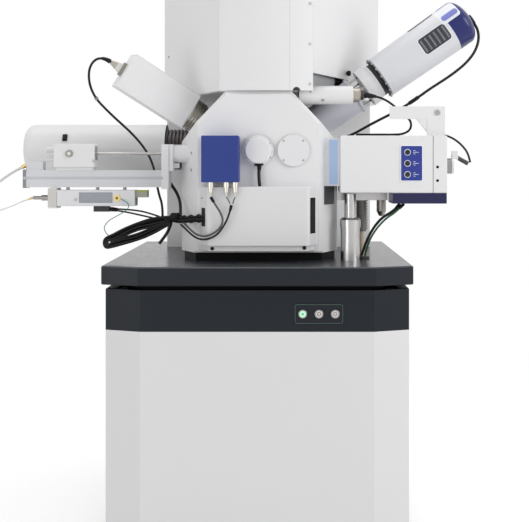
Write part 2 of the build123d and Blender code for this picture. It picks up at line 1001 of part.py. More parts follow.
with BuildPart() as column_base_plate:
    with BuildSketch(Plane.XY.offset(chamber_top)):
        add(
            outline(
                [
                    (tower_front_left + sheet + 2, tower_front_y + sheet),
                    (plate_front_right, tower_front_y + sheet),
                    (plate_front_right, right_notch_back_y),
                    (cover_line(1, right_notch_back_y) - 2 * sheet, right_notch_back_y),
                    (tower_right - 2 * sheet, tower_shoulder_y),
                    (tower_left + 2 * sheet, tower_shoulder_y),
                ]
            )
        )
        with Locations((0, column_y)):
            Circle(column_flange_radius + clearance, mode=Mode.SUBTRACT)
    extrude(amount=tower_plate_top - chamber_top)
column_base_plate.part.label = "column_base_plate"
export_step(column_base_plate.part, "parts/column_base_plate.step")

cover_top = tower_top - tower_cap
with BuildPart() as column_cover_front:
    with BuildSketch(Plane.XY.offset(tower_bottom)):
        with BuildLine():
            front_line = ThreePointArc(
                (tower_front_left, tower_front_y),
                ((tower_front_left + tower_front_right) / 2, tower_front_y - tower_bulge),
                (tower_front_right, tower_front_y),
            )
            Polyline(
                (tower_front_right, tower_front_y),
                (tower_front_right, tower_front_y + sheet),
                (tower_front_left, tower_front_y + sheet),
                (tower_front_left, tower_front_y),
            )
        make_face()
    extrude(amount=cover_top - tower_bottom)
column_cover_front.part.label = "column_cover_front"
export_step(column_cover_front.part, "parts/column_cover_front.step")


def side_cover(side):
    """A flat cover from the front cover's edge back to the rear housing."""
    near = tower_front_left if side < 0 else tower_front_right
    far = tower_left if side < 0 else tower_right
    front = tower_front_y + sheet + clearance
    with BuildPart() as flat:
        with BuildSketch(Plane.XY.offset(tower_bottom)):
            add(
                outline(
                    [
                        (cover_line(side, front), front),
                        (far, tower_shoulder_y),
                        (far - side * 2 * sheet, tower_shoulder_y),
                        (cover_line(side, front) - side * 2 * sheet, front),
                    ]
                )
            )
        extrude(amount=cover_top - tower_bottom)
    return flat.part


with BuildPart() as column_cover_left:
    add(side_cover(-1))
column_cover_left.part.label = "column_cover_left"
export_step(column_cover_left.part, "parts/column_cover_left.step")

# The right cover is cut away at its lower front, where two detectors pass under it
with BuildPart() as column_cover_right:
    add(side_cover(1))
    with Locations((tower_front_right, tower_front_y, tower_bottom)):
        Box(
            2 * (tower_right - tower_front_right),
            2 * (right_notch_back_y - tower_front_y),
            2 * right_notch_height,
            mode=Mode.SUBTRACT,
        )
column_cover_right.part.label = "column_cover_right"
export_step(column_cover_right.part, "parts/column_cover_right.step")

with BuildPart() as tower_rear_housing:
    with Locations(
        (
            (tower_left + tower_right) / 2,
            (tower_shoulder_y + tower_back_y) / 2,
            (tower_bottom + cover_top) / 2,
        )
    ):
        Box(
            tower_right - tower_left,
            tower_back_y - tower_shoulder_y,
            cover_top - tower_bottom,
        )
    fillet(tower_rear_housing.edges().filter_by(Axis.Z).group_by(Axis.Y)[-1], 14)
    with Locations(((tower_left + tower_right) / 2, tower_back_y, tower_top - 160)):
        with GridLocations(1, vent_pitch / 3, 1, 8):
            Box(240, 12, vent_slot, mode=Mode.SUBTRACT)
tower_rear_housing.part.label = "tower_rear_housing"
export_step(tower_rear_housing.part, "parts/tower_rear_housing.step")

with BuildPart() as tower_cap_cover:
    with BuildSketch(Plane.XY.offset(cover_top)):
        with BuildLine():
            cap_front = ThreePointArc(
                (tower_front_left, tower_front_y),
                ((tower_front_left + tower_front_right) / 2, tower_front_y - tower_bulge),
                (tower_front_right, tower_front_y),
            )
            Polyline(
                (tower_front_right, tower_front_y),
                (tower_right, tower_shoulder_y),
                (tower_right, tower_back_y),
                (tower_left, tower_back_y),
                (tower_left, tower_shoulder_y),
                (tower_front_left, tower_front_y),
            )
        make_face()
    extrude(amount=tower_cap)
    chamfer(tower_cap_cover.faces().sort_by(Axis.Z)[-1].edges(), 3)
tower_cap_cover.part.label = "tower_cap"
export_step(tower_cap_cover.part, "parts/tower_cap.step")

# Lower rear cabinet behind the chamber
with BuildPart() as rear_cabinet:
    with Locations(
        (
            (cabinet_left + cabinet_right) / 2,
            (tower_shoulder_y + tower_back_y) / 2,
            (table_top_height + tower_bottom) / 2,
        )
    ):
        Box(
            cabinet_right - cabinet_left,
            tower_back_y - tower_shoulder_y,
            tower_bottom - table_top_height,
        )
    fillet(rear_cabinet.edges().filter_by(Axis.Z).group_by(Axis.Y)[-1], 14)
    with Locations(((cabinet_left + cabinet_right) / 2, tower_back_y, table_top_height + 180)):
        with GridLocations(300, vent_pitch / 3, 2, 8):
            Box(200, 12, vent_slot, mode=Mode.SUBTRACT)
rear_cabinet.part.label = "rear_cabinet"
export_step(rear_cabinet.part, "parts/rear_cabinet.step")

# Door: a thick plate over the chamber's mouth, carrying the stage behind it and covers in front
door_front_y = chamber_front_y - door_thickness


def flank_x(y):
    """X of the drive cover's right flank at depth y."""
    share = (door_front_y - y) / cover_projection
    return cover_half_width - share * (cover_half_width - cover_front_half)


grip_front_x = flank_x(grip_front_y)
grip_back_x = flank_x(grip_back_y)
door_back_y = chamber_front_y - clearance
with BuildPart() as door_plate:
    with BuildSketch(Plane.XY.offset(door_bottom)):
        add(
            outline(
                [
                    (-chamber_front_half, door_back_y),
                    (-door_front_half, door_front_y),
                    (door_front_half, door_front_y),
                    (chamber_front_half, door_back_y),
                ]
            )
        )
    extrude(amount=chamber_top - door_bottom)
    with BuildSketch(Plane.XZ.offset(-chamber_front_y)):
        add(shoulder_profile(0, door_bottom))
    extrude(amount=2 * door_thickness, mode=Mode.INTERSECT)
    chamfer(door_plate.faces().sort_by(Axis.Y)[0].edges().sort_by(Axis.Z)[3:], door_bevel)
door_plate.part.label = "door_plate"
export_step(door_plate.part, "parts/door_plate.step")

# Cover over the stage drives on the door's front, with a hand grip in its right flank and a lip below
with BuildPart() as drawer_cover:
    with BuildSketch(Plane.XY.offset(cover_bottom)):
        add(
            outline(
                [
                    (-cover_half_width, door_front_y),
                    (-cover_front_half, door_front_y - cover_projection),
                    (cover_front_half, door_front_y - cover_projection),
                    (cover_half_width, door_front_y),
                ]
            )
        )
    extrude(amount=cover_height)
    fillet(drawer_cover.edges().filter_by(Axis.Z).group_by(Axis.Y)[0], 10)
    fillet(drawer_cover.faces().sort_by(Axis.Z)[-1].edges().sort_by(Axis.Y)[:-1], 3)
    with BuildSketch(Plane.XY.offset(lip_bottom)):
        add(
            outline(
                [
                    (-cover_half_width + 8, door_front_y),
                    (-cover_front_half + 4, door_front_y - lip_projection),
                    (cover_front_half - 4, door_front_y - lip_projection),
                    (cover_half_width - 8, door_front_y),
                ]
            )
        )
    extrude(amount=cover_bottom - lip_bottom)
    with Locations(
        (
            cover_half_width,
            (grip_front_y + grip_back_y) / 2,
            grip_bottom + grip_height / 2,
        )
    ):
        Box(
            2 * (cover_half_width - grip_floor_x),
            grip_back_y - grip_front_y,
            grip_height,
            mode=Mode.SUBTRACT,
        )
    with Locations((-cover_half_width, outlet_y, outlet_z)):
        Box(2 * (cover_half_width - outlet_floor_x), outlet_side, outlet_height, mode=Mode.SUBTRACT)
drawer_cover.part.label = "drawer_cover"
export_step(drawer_cover.part, "parts/drawer_cover.step")

# Camera under a round cap, and a blank flange beside it
with BuildPart() as camera_cap:
    with BuildSketch(Plane.XZ.offset(-door_front_y)):
        with Locations((camera_x, port_centre_z)):
            Circle(camera_ring_radius)
    extrude(amount=blank_thickness)
    with BuildSketch(Plane.XZ.offset(-door_front_y)):
        with Locations((camera_x, port_centre_z)):
            Circle(camera_cap_radius)
    extrude(amount=camera_projection)
    fillet(camera_cap.faces().sort_by(Axis.Y)[0].edges(), 5)

with BuildPart() as port_covers:
    with BuildSketch(Plane.XZ.offset(-door_front_y)):
        with Locations((blank_x, port_centre_z)):
            Circle(blank_radius)
    extrude(amount=blank_thickness)
    fillet(port_covers.faces().sort_by(Axis.Y)[0].edges(), 1.5)
    add(camera_cap.part)
port_covers.part.label = "port_covers"
export_step(port_covers.part, "parts/port_covers.step")

# Blue electronics box on the door and the round plugs under it
with BuildPart() as box_shell:
    with BuildSketch(Plane.XZ.offset(-door_front_y)):
        with Locations((box_left + box_width / 2, box_bottom + box_height / 2)):
            RectangleRounded(box_width, box_height, 3)
    extrude(amount=box_depth)
    fillet(box_shell.faces().sort_by(Axis.Y)[0].edges(), 1.5)

with BuildPart() as door_box:
    for plug_x in box_plug_places:
        with Locations((plug_x, box_plug_y, box_bottom)):
            Cylinder(8, 14, align=(Align.CENTER, Align.CENTER, Align.MAX))
            Cylinder(6, 26, align=(Align.CENTER, Align.CENTER, Align.MAX))
        with Locations((plug_x, box_plug_y, box_bottom - 26)):
            Cone(3.2, 6, 12, align=(Align.CENTER, Align.CENTER, Align.MAX))
    add(box_shell.part)
door_box.part.label = "door_box"
export_step(door_box.part, "parts/door_box.step")

# Specimen stage, from the door's bracket up to the turntable
stage_base_top = stage_base_bottom + stage_base_thickness
y_carriage_bottom = stage_base_top + clearance
y_carriage_top = y_carriage_bottom + stage_plate
x_carriage_bottom = y_carriage_top + clearance
x_carriage_top = x_carriage_bottom + stage_plate
yoke_bottom = x_carriage_top + clearance
yoke_top = yoke_bottom + stage_plate
rail_fit = stage_rail_width + 2 * clearance
groove_depth = stage_rail_height + clearance

with BuildPart() as stage_base:
    with Locations((0, (door_back_y + stage_base_back_y) / 2, stage_base_bottom)):
        Box(
            2 * stage_base_half,
            stage_base_back_y - door_back_y,
            stage_base_thickness,
            align=(Align.CENTER, Align.CENTER, Align.MIN),
        )
    with Locations((0, door_back_y, stage_base_bottom)):
        Box(
            2 * stage_base_half,
            stage_base_thickness,
            stage_web_height,
            align=(Align.CENTER, Align.MIN, Align.MIN),
        )
    with Locations(*[(x, column_y, stage_base_top) for x in (-stage_rail_x, stage_rail_x)]):
        Box(
            stage_rail_width,
            2 * stage_rail_half,
            stage_rail_height,
            align=(Align.CENTER, Align.CENTER, Align.MIN),
        )
stage_base.part.label = "stage_base"
export_step(stage_base.part, "parts/stage_base.step")

with BuildPart() as stage_y_carriage:
    with Locations((0, column_y, y_carriage_bottom)):
        Box(
            2 * y_carriage_half_x,
            2 * y_carriage_half_y,
            stage_plate,
            align=(Align.CENTER, Align.CENTER, Align.MIN),
        )
    with Locations(*[(x, column_y, y_carriage_bottom) for x in (-stage_rail_x, stage_rail_x)]):
        Box(
            rail_fit,
            4 * y_carriage_half_y,
            groove_depth,
            align=(Align.CENTER, Align.CENTER, Align.MIN),
            mode=Mode.SUBTRACT,
        )
    with Locations(*[(0, column_y + y, y_carriage_top) for y in (-x_rail_y, x_rail_y)]):
        Box(
            2 * y_carriage_half_x,
            stage_rail_width,
            stage_rail_height,
            align=(Align.CENTER, Align.CENTER, Align.MIN),
        )
stage_y_carriage.part.label = "stage_y_carriage"
export_step(stage_y_carriage.part, "parts/stage_y_carriage.step")

with BuildPart() as stage_x_carriage:
    with Locations((0, column_y, x_carriage_bottom)):
        Box(
            2 * yoke_half_width,
            2 * x_carriage_half_y,
            stage_plate,
            align=(Align.CENTER, Align.CENTER, Align.MIN),
        )
    with Locations(*[(0, column_y + y, x_carriage_bottom) for y in (-x_rail_y, x_rail_y)]):
        Box(
            4 * yoke_half_width,
            rail_fit,
            groove_depth,
            align=(Align.CENTER, Align.CENTER, Align.MIN),
            mode=Mode.SUBTRACT,
        )
    with Locations(*[(x, column_y, x_carriage_top) for x in (-guide_post_x, guide_post_x)]):
        Cylinder(
            guide_post_radius,
            guide_post_height,
            align=(Align.CENTER, Align.CENTER, Align.MIN),
        )
stage_x_carriage.part.label = "stage_x_carriage"
export_step(stage_x_carriage.part, "parts/stage_x_carriage.step")

with BuildPart() as stage_lift_yoke:
    with Locations((0, column_y, yoke_bottom)):
        Box(
            2 * yoke_half_width,
            2 * x_carriage_half_y,
            stage_plate,
            align=(Align.CENTER, Align.CENTER, Align.MIN),
        )
    for arm_side in (-1, 1):
        arm_middle = arm_side * (yoke_arm_inner + yoke_arm_outer) / 2
        with BuildSketch(Plane.YZ.offset(arm_middle)):
            with Locations((column_y, tilt_axis_z)):
                Circle(yoke_boss_radius)
            with Locations((column_y, (yoke_top + tilt_axis_z) / 2)):
                Rectangle(1.7 * yoke_boss_radius, tilt_axis_z - yoke_top)
            with Locations((column_y, tilt_axis_z)):
                Circle(pivot_radius + running_gap, mode=Mode.SUBTRACT)
        extrude(amount=(yoke_arm_outer - yoke_arm_inner) / 2, both=True)
    with Locations(*[(x, column_y, yoke_bottom) for x in (-guide_post_x, guide_post_x)]):
        Cylinder(
            guide_post_radius + running_gap,
            3 * stage_plate,
            mode=Mode.SUBTRACT,
        )
stage_lift_yoke.part.label = "stage_lift_yoke"
export_step(stage_lift_yoke.part, "parts/stage_lift_yoke.step")

cradle_floor_top = tilt_axis_z - cradle_drop + cradle_floor
with BuildPart() as stage_tilt_cradle:
    with Locations((0, column_y, tilt_axis_z - cradle_drop)):
        Box(
            2 * cradle_half_width,
            2 * cradle_half_length,
            cradle_floor,
            align=(Align.CENTER, Align.CENTER, Align.MIN),
        )
    for ear_side in (-1, 1):
        ear_middle = ear_side * (cradle_half_width - cradle_ear / 2)
        with BuildSketch(Plane.YZ.offset(ear_middle)):
            with Locations((column_y, tilt_axis_z)):
                Circle(1.5 * pivot_radius)
            with Locations((column_y, tilt_axis_z - cradle_drop / 2)):
                Rectangle(3 * pivot_radius, cradle_drop)
        extrude(amount=cradle_ear / 2, both=True)
        pin_middle = ear_side * (cradle_half_width + yoke_arm_outer) / 2
        with BuildSketch(Plane.YZ.offset(pin_middle)):
            with Locations((column_y, tilt_axis_z)):
                Circle(pivot_radius)
        extrude(amount=(yoke_arm_outer - cradle_half_width) / 2, both=True)
    with Locations((0, column_y, cradle_floor_top)):
        Cylinder(
            turntable_shaft + running_gap,
            2 * turntable_shaft,
            align=(Align.CENTER, Align.CENTER, Align.MAX),
            mode=Mode.SUBTRACT,
        )
stage_tilt_cradle.part.label = "stage_tilt_cradle"
export_step(stage_tilt_cradle.part, "parts/stage_tilt_cradle.step")

# Turntable with its shaft and the holder for a specimen stub's pin
turntable_bottom = cradle_floor_top + clearance
with BuildPart() as stage_turntable:
    with BuildSketch(Plane.XZ.offset(-column_y)):
        with BuildLine():
            Polyline(
                (0, cradle_floor_top - 1.6 * turntable_shaft),
                (turntable_shaft, cradle_floor_top - 1.6 * turntable_shaft),
                (turntable_shaft, turntable_bottom),
                (turntable_radius, turntable_bottom),
                (turntable_radius, turntable_bottom + turntable_thickness),
                (stub_holder_radius, turntable_bottom + turntable_thickness),
                (stub_holder_radius, stub_holder_top),
                (0, stub_holder_top),
                close=True,
            )
        make_face()
    revolve(axis=Axis((0, column_y, 0), (0, 0, 1)))
    with Locations((0, column_y, stub_holder_top)):
        Cylinder(
            stub_bore_radius,
            stub_bore_depth,
            align=(Align.CENTER, Align.CENTER, Align.MAX),
            mode=Mode.SUBTRACT,
        )
    with BuildSketch(Plane.XY.offset(turntable_bottom + turntable_thickness)):
        with Locations((0, column_y)):
            with PolarLocations(turntable_radius * 0.72, 6):
                Circle(2.4)
    extrude(amount=-3, mode=Mode.SUBTRACT)
stage_turntable.part.label = "stage_turntable"
export_step(stage_turntable.part, "parts/stage_turntable.step")

# Secondary electron detector: ribbed flange stack on the left shoulder, box and plug
with BuildPart() as se_flange_stack:
    with BuildSketch(se_plane):
        Circle(se_stack_radius - 6)
    extrude(amount=-2 * se_stack_length)
    for rib in range(se_rib_count):
        with BuildSketch(se_plane.offset(-rib * se_rib_pitch)):
            Circle(se_stack_radius)
        extrude(amount=-se_rib_pitch * 0.55)
    with BuildSketch(Plane.XZ.offset(-chamber_back_y)):
        add(shoulder_profile(0, chamber_bottom))
    extrude(amount=2 * chamber_back_y, mode=Mode.SUBTRACT)
    se_stack_parts = se_flange_stack.solids().sort_by(Axis.X)
se_stack_outer = se_stack_parts[0]

with BuildPart() as se_detector_box:
    with BuildSketch(se_plane):
        Rectangle(se_width, se_depth)
    extrude(amount=se_length)
    fillet(se_detector_box.edges(), 3)

with BuildPart() as se_detector:
    with BuildSketch(se_plane.offset(se_length)):
        with Locations((-se_plug_offset, 0)):
            RectangleRounded(40, 18, 3)
    extrude(amount=10)
    with BuildSketch(se_plane.offset(se_length + 10)):
        with Locations((-se_plug_offset, 0)):
            RectangleRounded(30, 16, 4)
    with BuildSketch(se_plane.offset(se_length + se_plug_length)):
        with Locations((-se_plug_offset, 0)):
            RectangleRounded(12, 12, 4)
    loft()
    add(se_detector_box.part)
    add(se_stack_outer)
se_detector.part.label = "se_detector"
export_step(se_detector.part, "parts/se_detector.step")

# Horizontal detector tube on the right shoulder and its braided plug
with BuildPart() as vpse_tube:
    with BuildSketch(Plane.YZ.offset(vpse_left)):
        with Locations((vpse_y, vpse_z)):
            Circle(vpse_radius)
    extrude(amount=vpse_right - vpse_left)
    with BuildSketch(Plane.XZ.offset(-chamber_back_y)):
        add(shoulder_profile(0, chamber_bottom))
    extrude(amount=3 * chamber_back_y, mode=Mode.SUBTRACT)
    fillet(vpse_tube.faces().sort_by(Axis.X)[-1].edges(), 2)

with BuildPart() as vpse_detector:
    with BuildSketch(Plane.XZ.offset(-vpse_y)):
        with BuildLine():
            Polyline(
                (vpse_right, vpse_z),
                (vpse_right, vpse_z + 20),
                (vpse_right + 18, vpse_z + 20),
                (vpse_right + 20, vpse_z + 15),
                (vpse_right + 30, vpse_z + 13),
                (vpse_right + 30, vpse_z),
                close=True,
            )
        make_face()
    revolve(axis=Axis((0, vpse_y, vpse_z), (1, 0, 0)))
    add(vpse_tube.part)
vpse_detector.part.label = "vpse_detector"
export_step(vpse_detector.part, "parts/vpse_detector.step")

# X-ray detector: fixed adaptor cone with its guide rods
with BuildPart() as eds_adaptor:
    with BuildSketch(eds_plane.offset(-eds_adaptor_length)):
        Circle(eds_cone_small)
    with BuildSketch(eds_plane.offset(eds_adaptor_end)):
        Circle(eds_cone_large)
    loft()
    with BuildSketch(eds_plane.offset(eds_adaptor_end)):
        Circle(eds_start_radius - 8)
    extrude(amount=-8)
    with BuildSketch(Plane.XZ.offset(-chamber_back_y)):
        add(shoulder_profile(0, chamber_bottom))
    extrude(amount=3 * chamber_back_y, mode=Mode.SUBTRACT)
    with BuildSketch(eds_plane.offset(eds_adaptor_end)):
        with PolarLocations(eds_rod_circle - 10, eds_rod_count, start_angle=30):
            Circle(eds_rod_radius)
    extrude(amount=eds_rod_length)
    with BuildSketch(eds_plane):
        Circle(eds_snout_radius + port_gap)
    extrude(amount=-eds_port_reach, mode=Mode.SUBTRACT)
    eds_adaptor_parts = eds_adaptor.solids().sort_by(SortBy.VOLUME)
eds_adaptor_body = eds_adaptor_parts[-1]
eds_adaptor_body.label = "eds_adaptor"
export_step(eds_adaptor_body, "parts/eds_adaptor.step")

# The moving head: disc, neck, tapered housing with slatted grilles, and the snout into the chamber
with BuildPart() as eds_housing:
    with BuildSketch(eds_plane.offset(eds_disc_start)):
        Circle(eds_start_radius - 5)
    extrude(amount=eds_disc_thickness)
    with BuildSketch(eds_plane.offset(eds_disc_start)):
        Circle(eds_start_radius - 12)
    extrude(amount=-eds_disc_start + 1)
    with BuildSketch(eds_plane):
        Circle(eds_start_radius)
    with BuildSketch(eds_plane.offset(eds_length)):
        Circle(eds_radius)
    loft()
    with BuildSketch(eds_plane.offset(eds_disc_start)):
        Circle(eds_snout_radius)
    extrude(amount=-eds_snout_length)
    with BuildSketch(eds_plane.offset(eds_disc_start)):
        with PolarLocations(eds_rod_circle - 10, eds_rod_count, start_angle=30):
            Circle(eds_rod_radius + running_gap)
    extrude(amount=eds_rod_length, mode=Mode.SUBTRACT)
    for turn in (0, 180, 270):
        grille_plane = eds_plane.rotated((0, 0, turn - 180)).offset(grille_centre)
        pocket_plane = Plane(
            origin=grille_plane.origin + grille_plane.x_dir * (eds_radius - grille_depth),
            x_dir=grille_plane.z_dir,
            z_dir=grille_plane.x_dir,
        )
        with BuildSketch(pocket_plane):
            RectangleRounded(grille_length, grille_width, 9)
            with GridLocations(grille_length / grille_slats, 1, grille_slats - 1, 1):
                Rectangle(grille_slat, grille_width, mode=Mode.SUBTRACT)
        extrude(amount=2 * grille_depth, mode=Mode.SUBTRACT)

with BuildPart() as eds_end_cap:
    with BuildSketch(Plane.XZ):
        with BuildLine():
            cap_side = Line((eds_radius, 0), (eds_radius, eds_cap_length * 0.4))
            cap_round = EllipticalCenterArc(
                (0, eds_cap_length * 0.4),
                eds_radius,
                eds_cap_length * 0.6,
                arc_size=60,
            )
            Polyline(cap_round @ 1, (0, (cap_round @ 1).Y), (0, 0), (eds_radius, 0))
        make_face()
    revolve(axis=Axis.Z)
with BuildPart() as eds_detector:
    add(eds_housing.part)
    add(eds_plane.offset(eds_length).location * eds_end_cap.part)
eds_detector.part.label = "eds_detector"
export_step(eds_detector.part, "parts/eds_detector.step")

# Round housing on the chamber's left wall, with its dark ribbed flange
with BuildPart() as side_housing:
    with BuildSketch(Plane.YZ.offset(housing_left)):
        with Locations((housing_y, housing_z)):
            Circle(housing_radius)
    extrude(amount=housing_right - housing_left)
    fillet(side_housing.faces().sort_by(Axis.X)[0].edges(), housing_round)
    with BuildSketch(Plane.YZ.offset(housing_right)):
        with Locations((housing_y, housing_z)):
            Circle(housing_flange_radius - 10)
    extrude(amount=-chamber_half_width - housing_right)
    rib_pitch = (-chamber_half_width - housing_right) / housing_ribs
    for rib in range(housing_ribs):
        with BuildSketch(Plane.YZ.offset(housing_right + rib * rib_pitch)):
            with Locations((housing_y, housing_z)):
                Circle(housing_flange_radius)
        extrude(amount=rib_pitch / 2)
side_housing.part.label = "side_housing"
export_step(side_housing.part, "parts/side_housing.step")

# Retractable detector: plate, block and stub on the chamber, with a long rail out to the left
bsd_rail_top = bsd_rail_bottom + bsd_rail_height
with BuildPart() as bsd_support:
    with Locations((bsd_plate_left, bsd_y, bsd_plate_bottom)):
        Box(
            bsd_plate_right - bsd_plate_left,
            bsd_slider_depth + 8,
            bsd_plate_top - bsd_plate_bottom,
            align=(Align.MIN, Align.CENTER, Align.MIN),
        )
    with Locations((bsd_plate_right, bsd_y, bsd_block_bottom)):
        Box(
            bsd_block_right - bsd_plate_right,
            bsd_slider_depth,
            bsd_plate_top - bsd_block_bottom,
            align=(Align.MIN, Align.CENTER, Align.MIN),
        )
    with Locations((bsd_block_right, bsd_y - plug_radius, bsd_block_bottom + plug_radius)):
        Box(16, 10, 14, align=(Align.MIN, Align.CENTER, Align.MIN))
    with BuildSketch(Plane.YZ.offset(bsd_block_right)):
        with Locations((bsd_y, bsd_rod_z)):
            Circle(bsd_stub_radius)
    extrude(amount=-bsd_block_right - chamber_front_half)
    with BuildSketch(Plane.XY.offset(chamber_bottom)):
        add(chamber_plan(0, chamber_front_y, chamber_back_y))
    extrude(amount=chamber_top - chamber_bottom, mode=Mode.SUBTRACT)
    with Locations((bsd_rail_left, bsd_y, bsd_rail_bottom)):
        Box(
            bsd_plate_left - bsd_rail_left,
            bsd_rail_width,
            bsd_rail_height,
            align=(Align.MIN, Align.CENTER, Align.MIN),
        )
    with Locations((bsd_rail_left, bsd_y, bsd_rail_bottom - 2)):
        Box(
            8,
            bsd_rail_width + 4,
            bsd_rail_height + 4,
            align=(Align.MAX, Align.CENTER, Align.MIN),
        )
    with Locations((bsd_rail_left, bsd_y, bsd_rail_top)):
        Box(47, 34, 25, align=(Align.MIN, Align.CENTER, Align.MIN))
    with Locations((bsd_plate_left, bsd_y, bsd_rail_top)):
        Box(
            bsd_plate_left - bsd_carriage_left + 20,
            bsd_groove,
            2 * bsd_groove_depth,
            align=(Align.MAX, Align.CENTER, Align.CENTER),
            mode=Mode.SUBTRACT,
        )
    with Locations((bsd_plate_left, bsd_y, bsd_rod_z)):
        Cylinder(
            bsd_rod_radius + running_gap,
            2 * chamber_half_width,
            rotation=(0, 90, 0),
            mode=Mode.SUBTRACT,
        )
bsd_support.part.label = "bsd_support"
export_step(bsd_support.part, "parts/bsd_support.step")

# Its carriage on the rail, with the rod through the stub and the sensor at the rod's cranked end
with BuildPart() as bsd_carriage:
    with Locations((bsd_carriage_left, bsd_y, bsd_carriage_bottom)):
        Box(
            bsd_carriage_length,
            bsd_slider_depth,
            bsd_carriage_height,
            align=(Align.MIN, Align.CENTER, Align.MIN),
        )
    fillet(bsd_carriage.edges(), 2)
    with Locations((bsd_carriage_left + 6, bsd_y, bsd_rail_top + clearance)):
        Box(
            bsd_carriage_length - 12,
            bsd_rail_width,
            bsd_carriage_bottom - bsd_rail_top - clearance,
            align=(Align.MIN, Align.CENTER, Align.MIN),
        )
        Box(
            bsd_carriage_length - 12,
            bsd_groove - 2 * running_gap,
            bsd_groove_depth,
            align=(Align.MIN, Align.CENTER, Align.MAX),
        )
    for fitting_z in (bsd_rod_z - 17, bsd_rod_z - 2, bsd_rod_z + 12):
        with Locations((bsd_carriage_left, bsd_y - plug_radius, fitting_z)):
            Cylinder(
                plug_radius - 2,
                24,
                rotation=(0, -90, 0),
                align=(Align.CENTER, Align.CENTER, Align.MIN),
            )
    with Locations((bsd_carriage_left + 44, bsd_y - bsd_slider_depth / 2, bsd_rod_z)):
        Cylinder(plug_radius + 2, 8, rotation=(90, 0, 0))
    with Locations((bsd_carriage_left + bsd_carriage_length, bsd_y, bsd_rod_z)):
        Cylinder(
            bsd_rod_radius,
            bsd_tip_x - bsd_carriage_left - bsd_carriage_length + bsd_rod_radius,
            rotation=(0, 90, 0),
            align=(Align.CENTER, Align.CENTER, Align.MIN),
        )
    with Locations((bsd_tip_x, bsd_y - bsd_rod_radius, bsd_rod_z)):
        Box(
            2 * bsd_rod_radius,
            column_y - bsd_y + bsd_rod_radius,
            2 * bsd_rod_radius,
            align=(Align.CENTER, Align.MIN, Align.CENTER),
        )
    with Locations((bsd_tip_x, column_y, bsd_rod_z)):
        Cylinder(bsd_sensor_radius, bsd_sensor_thickness)
bsd_carriage.part.label = "bsd_carriage"
export_step(bsd_carriage.part, "parts/bsd_carriage.step")

# Preamplifier under the rail, on three standoffs, with its plugs
preamp_top = preamp_bottom + preamp_height
preamp_front_y = bsd_y - preamp_depth / 2
preamp_mid_z = preamp_bottom + preamp_height / 2
with BuildPart() as bsd_preamp:
    with Locations((preamp_left, bsd_y, preamp_bottom)):
        Box(
            preamp_length,
            preamp_depth,
            preamp_height,
            align=(Align.MIN, Align.CENTER, Align.MIN),
        )
    fillet(bsd_preamp.edges(), 2)
    with Locations((preamp_left, bsd_y, preamp_mid_z)):
        Box(
            24,
            preamp_depth + 4,
            preamp_height + 12,
            align=(Align.MAX, Align.CENTER, Align.CENTER),
        )
        Cylinder(
            plug_radius,
            48,
            rotation=(0, -90, 0),
            align=(Align.CENTER, Align.CENTER, Align.MIN),
        )
        Cylinder(
            plug_radius - 3,
            72,
            rotation=(0, -90, 0),
            align=(Align.CENTER, Align.CENTER, Align.MIN),
        )
    for standoff_share in (0.12, 0.5, 0.85):
        with Locations((preamp_left + standoff_share * preamp_length, bsd_y, preamp_top)):
            Cylinder(
                standoff_radius,
                bsd_rail_bottom - preamp_top,
                align=(Align.CENTER, Align.CENTER, Align.MIN),
            )
    with Locations((preamp_left + preamp_length, bsd_y - 6, preamp_mid_z + 12)):
        Box(34, 34, 20, align=(Align.MIN, Align.CENTER, Align.CENTER))
    with Locations((preamp_left + 68, preamp_front_y, preamp_mid_z)):
        Box(83, 1.6, 23, align=(Align.MIN, Align.CENTER, Align.CENTER))
    with Locations((preamp_left + 170.5, preamp_front_y, preamp_mid_z)):
        Cylinder(plug_radius + 1, 6, rotation=(90, 0, 0))
    with Locations((preamp_left + 125, bsd_y - 10, preamp_bottom)):
        Box(44, 22, 16, align=(Align.CENTER, Align.CENTER, Align.MAX))
bsd_preamp.part.label = "bsd_preamp"
export_step(bsd_preamp.part, "parts/bsd_preamp.step")

# Diffraction camera: a wedge flange on the chamber's slanted corner and the box that slides on it
with BuildPart() as ebsd_flange:
    with Locations((chamber_front_half, ebsd_flange_front_y, ebsd_flange_bottom)):
        Box(
            ebsd_flange_right - chamber_front_half,
            ebsd_flange_back_y - ebsd_flange_front_y,
            ebsd_flange_top - ebsd_flange_bottom,
            align=(Align.MIN, Align.MIN, Align.MIN),
        )
    with BuildSketch(Plane.XY.offset(chamber_bottom)):
        add(chamber_plan(0, chamber_front_y, chamber_back_y))
    extrude(amount=chamber_top - chamber_bottom, mode=Mode.SUBTRACT)
    with Locations((ebsd_flange_right, ebsd_arm_y, ebsd_arm_z)):
        Cylinder(
            ebsd_arm_radius + running_gap,
            2 * chamber_half_width,
            rotation=(0, 90, 0),
            mode=Mode.SUBTRACT,
        )
ebsd_flange.part.label = "ebsd_flange"
export_step(ebsd_flange.part, "parts/ebsd_flange.step")

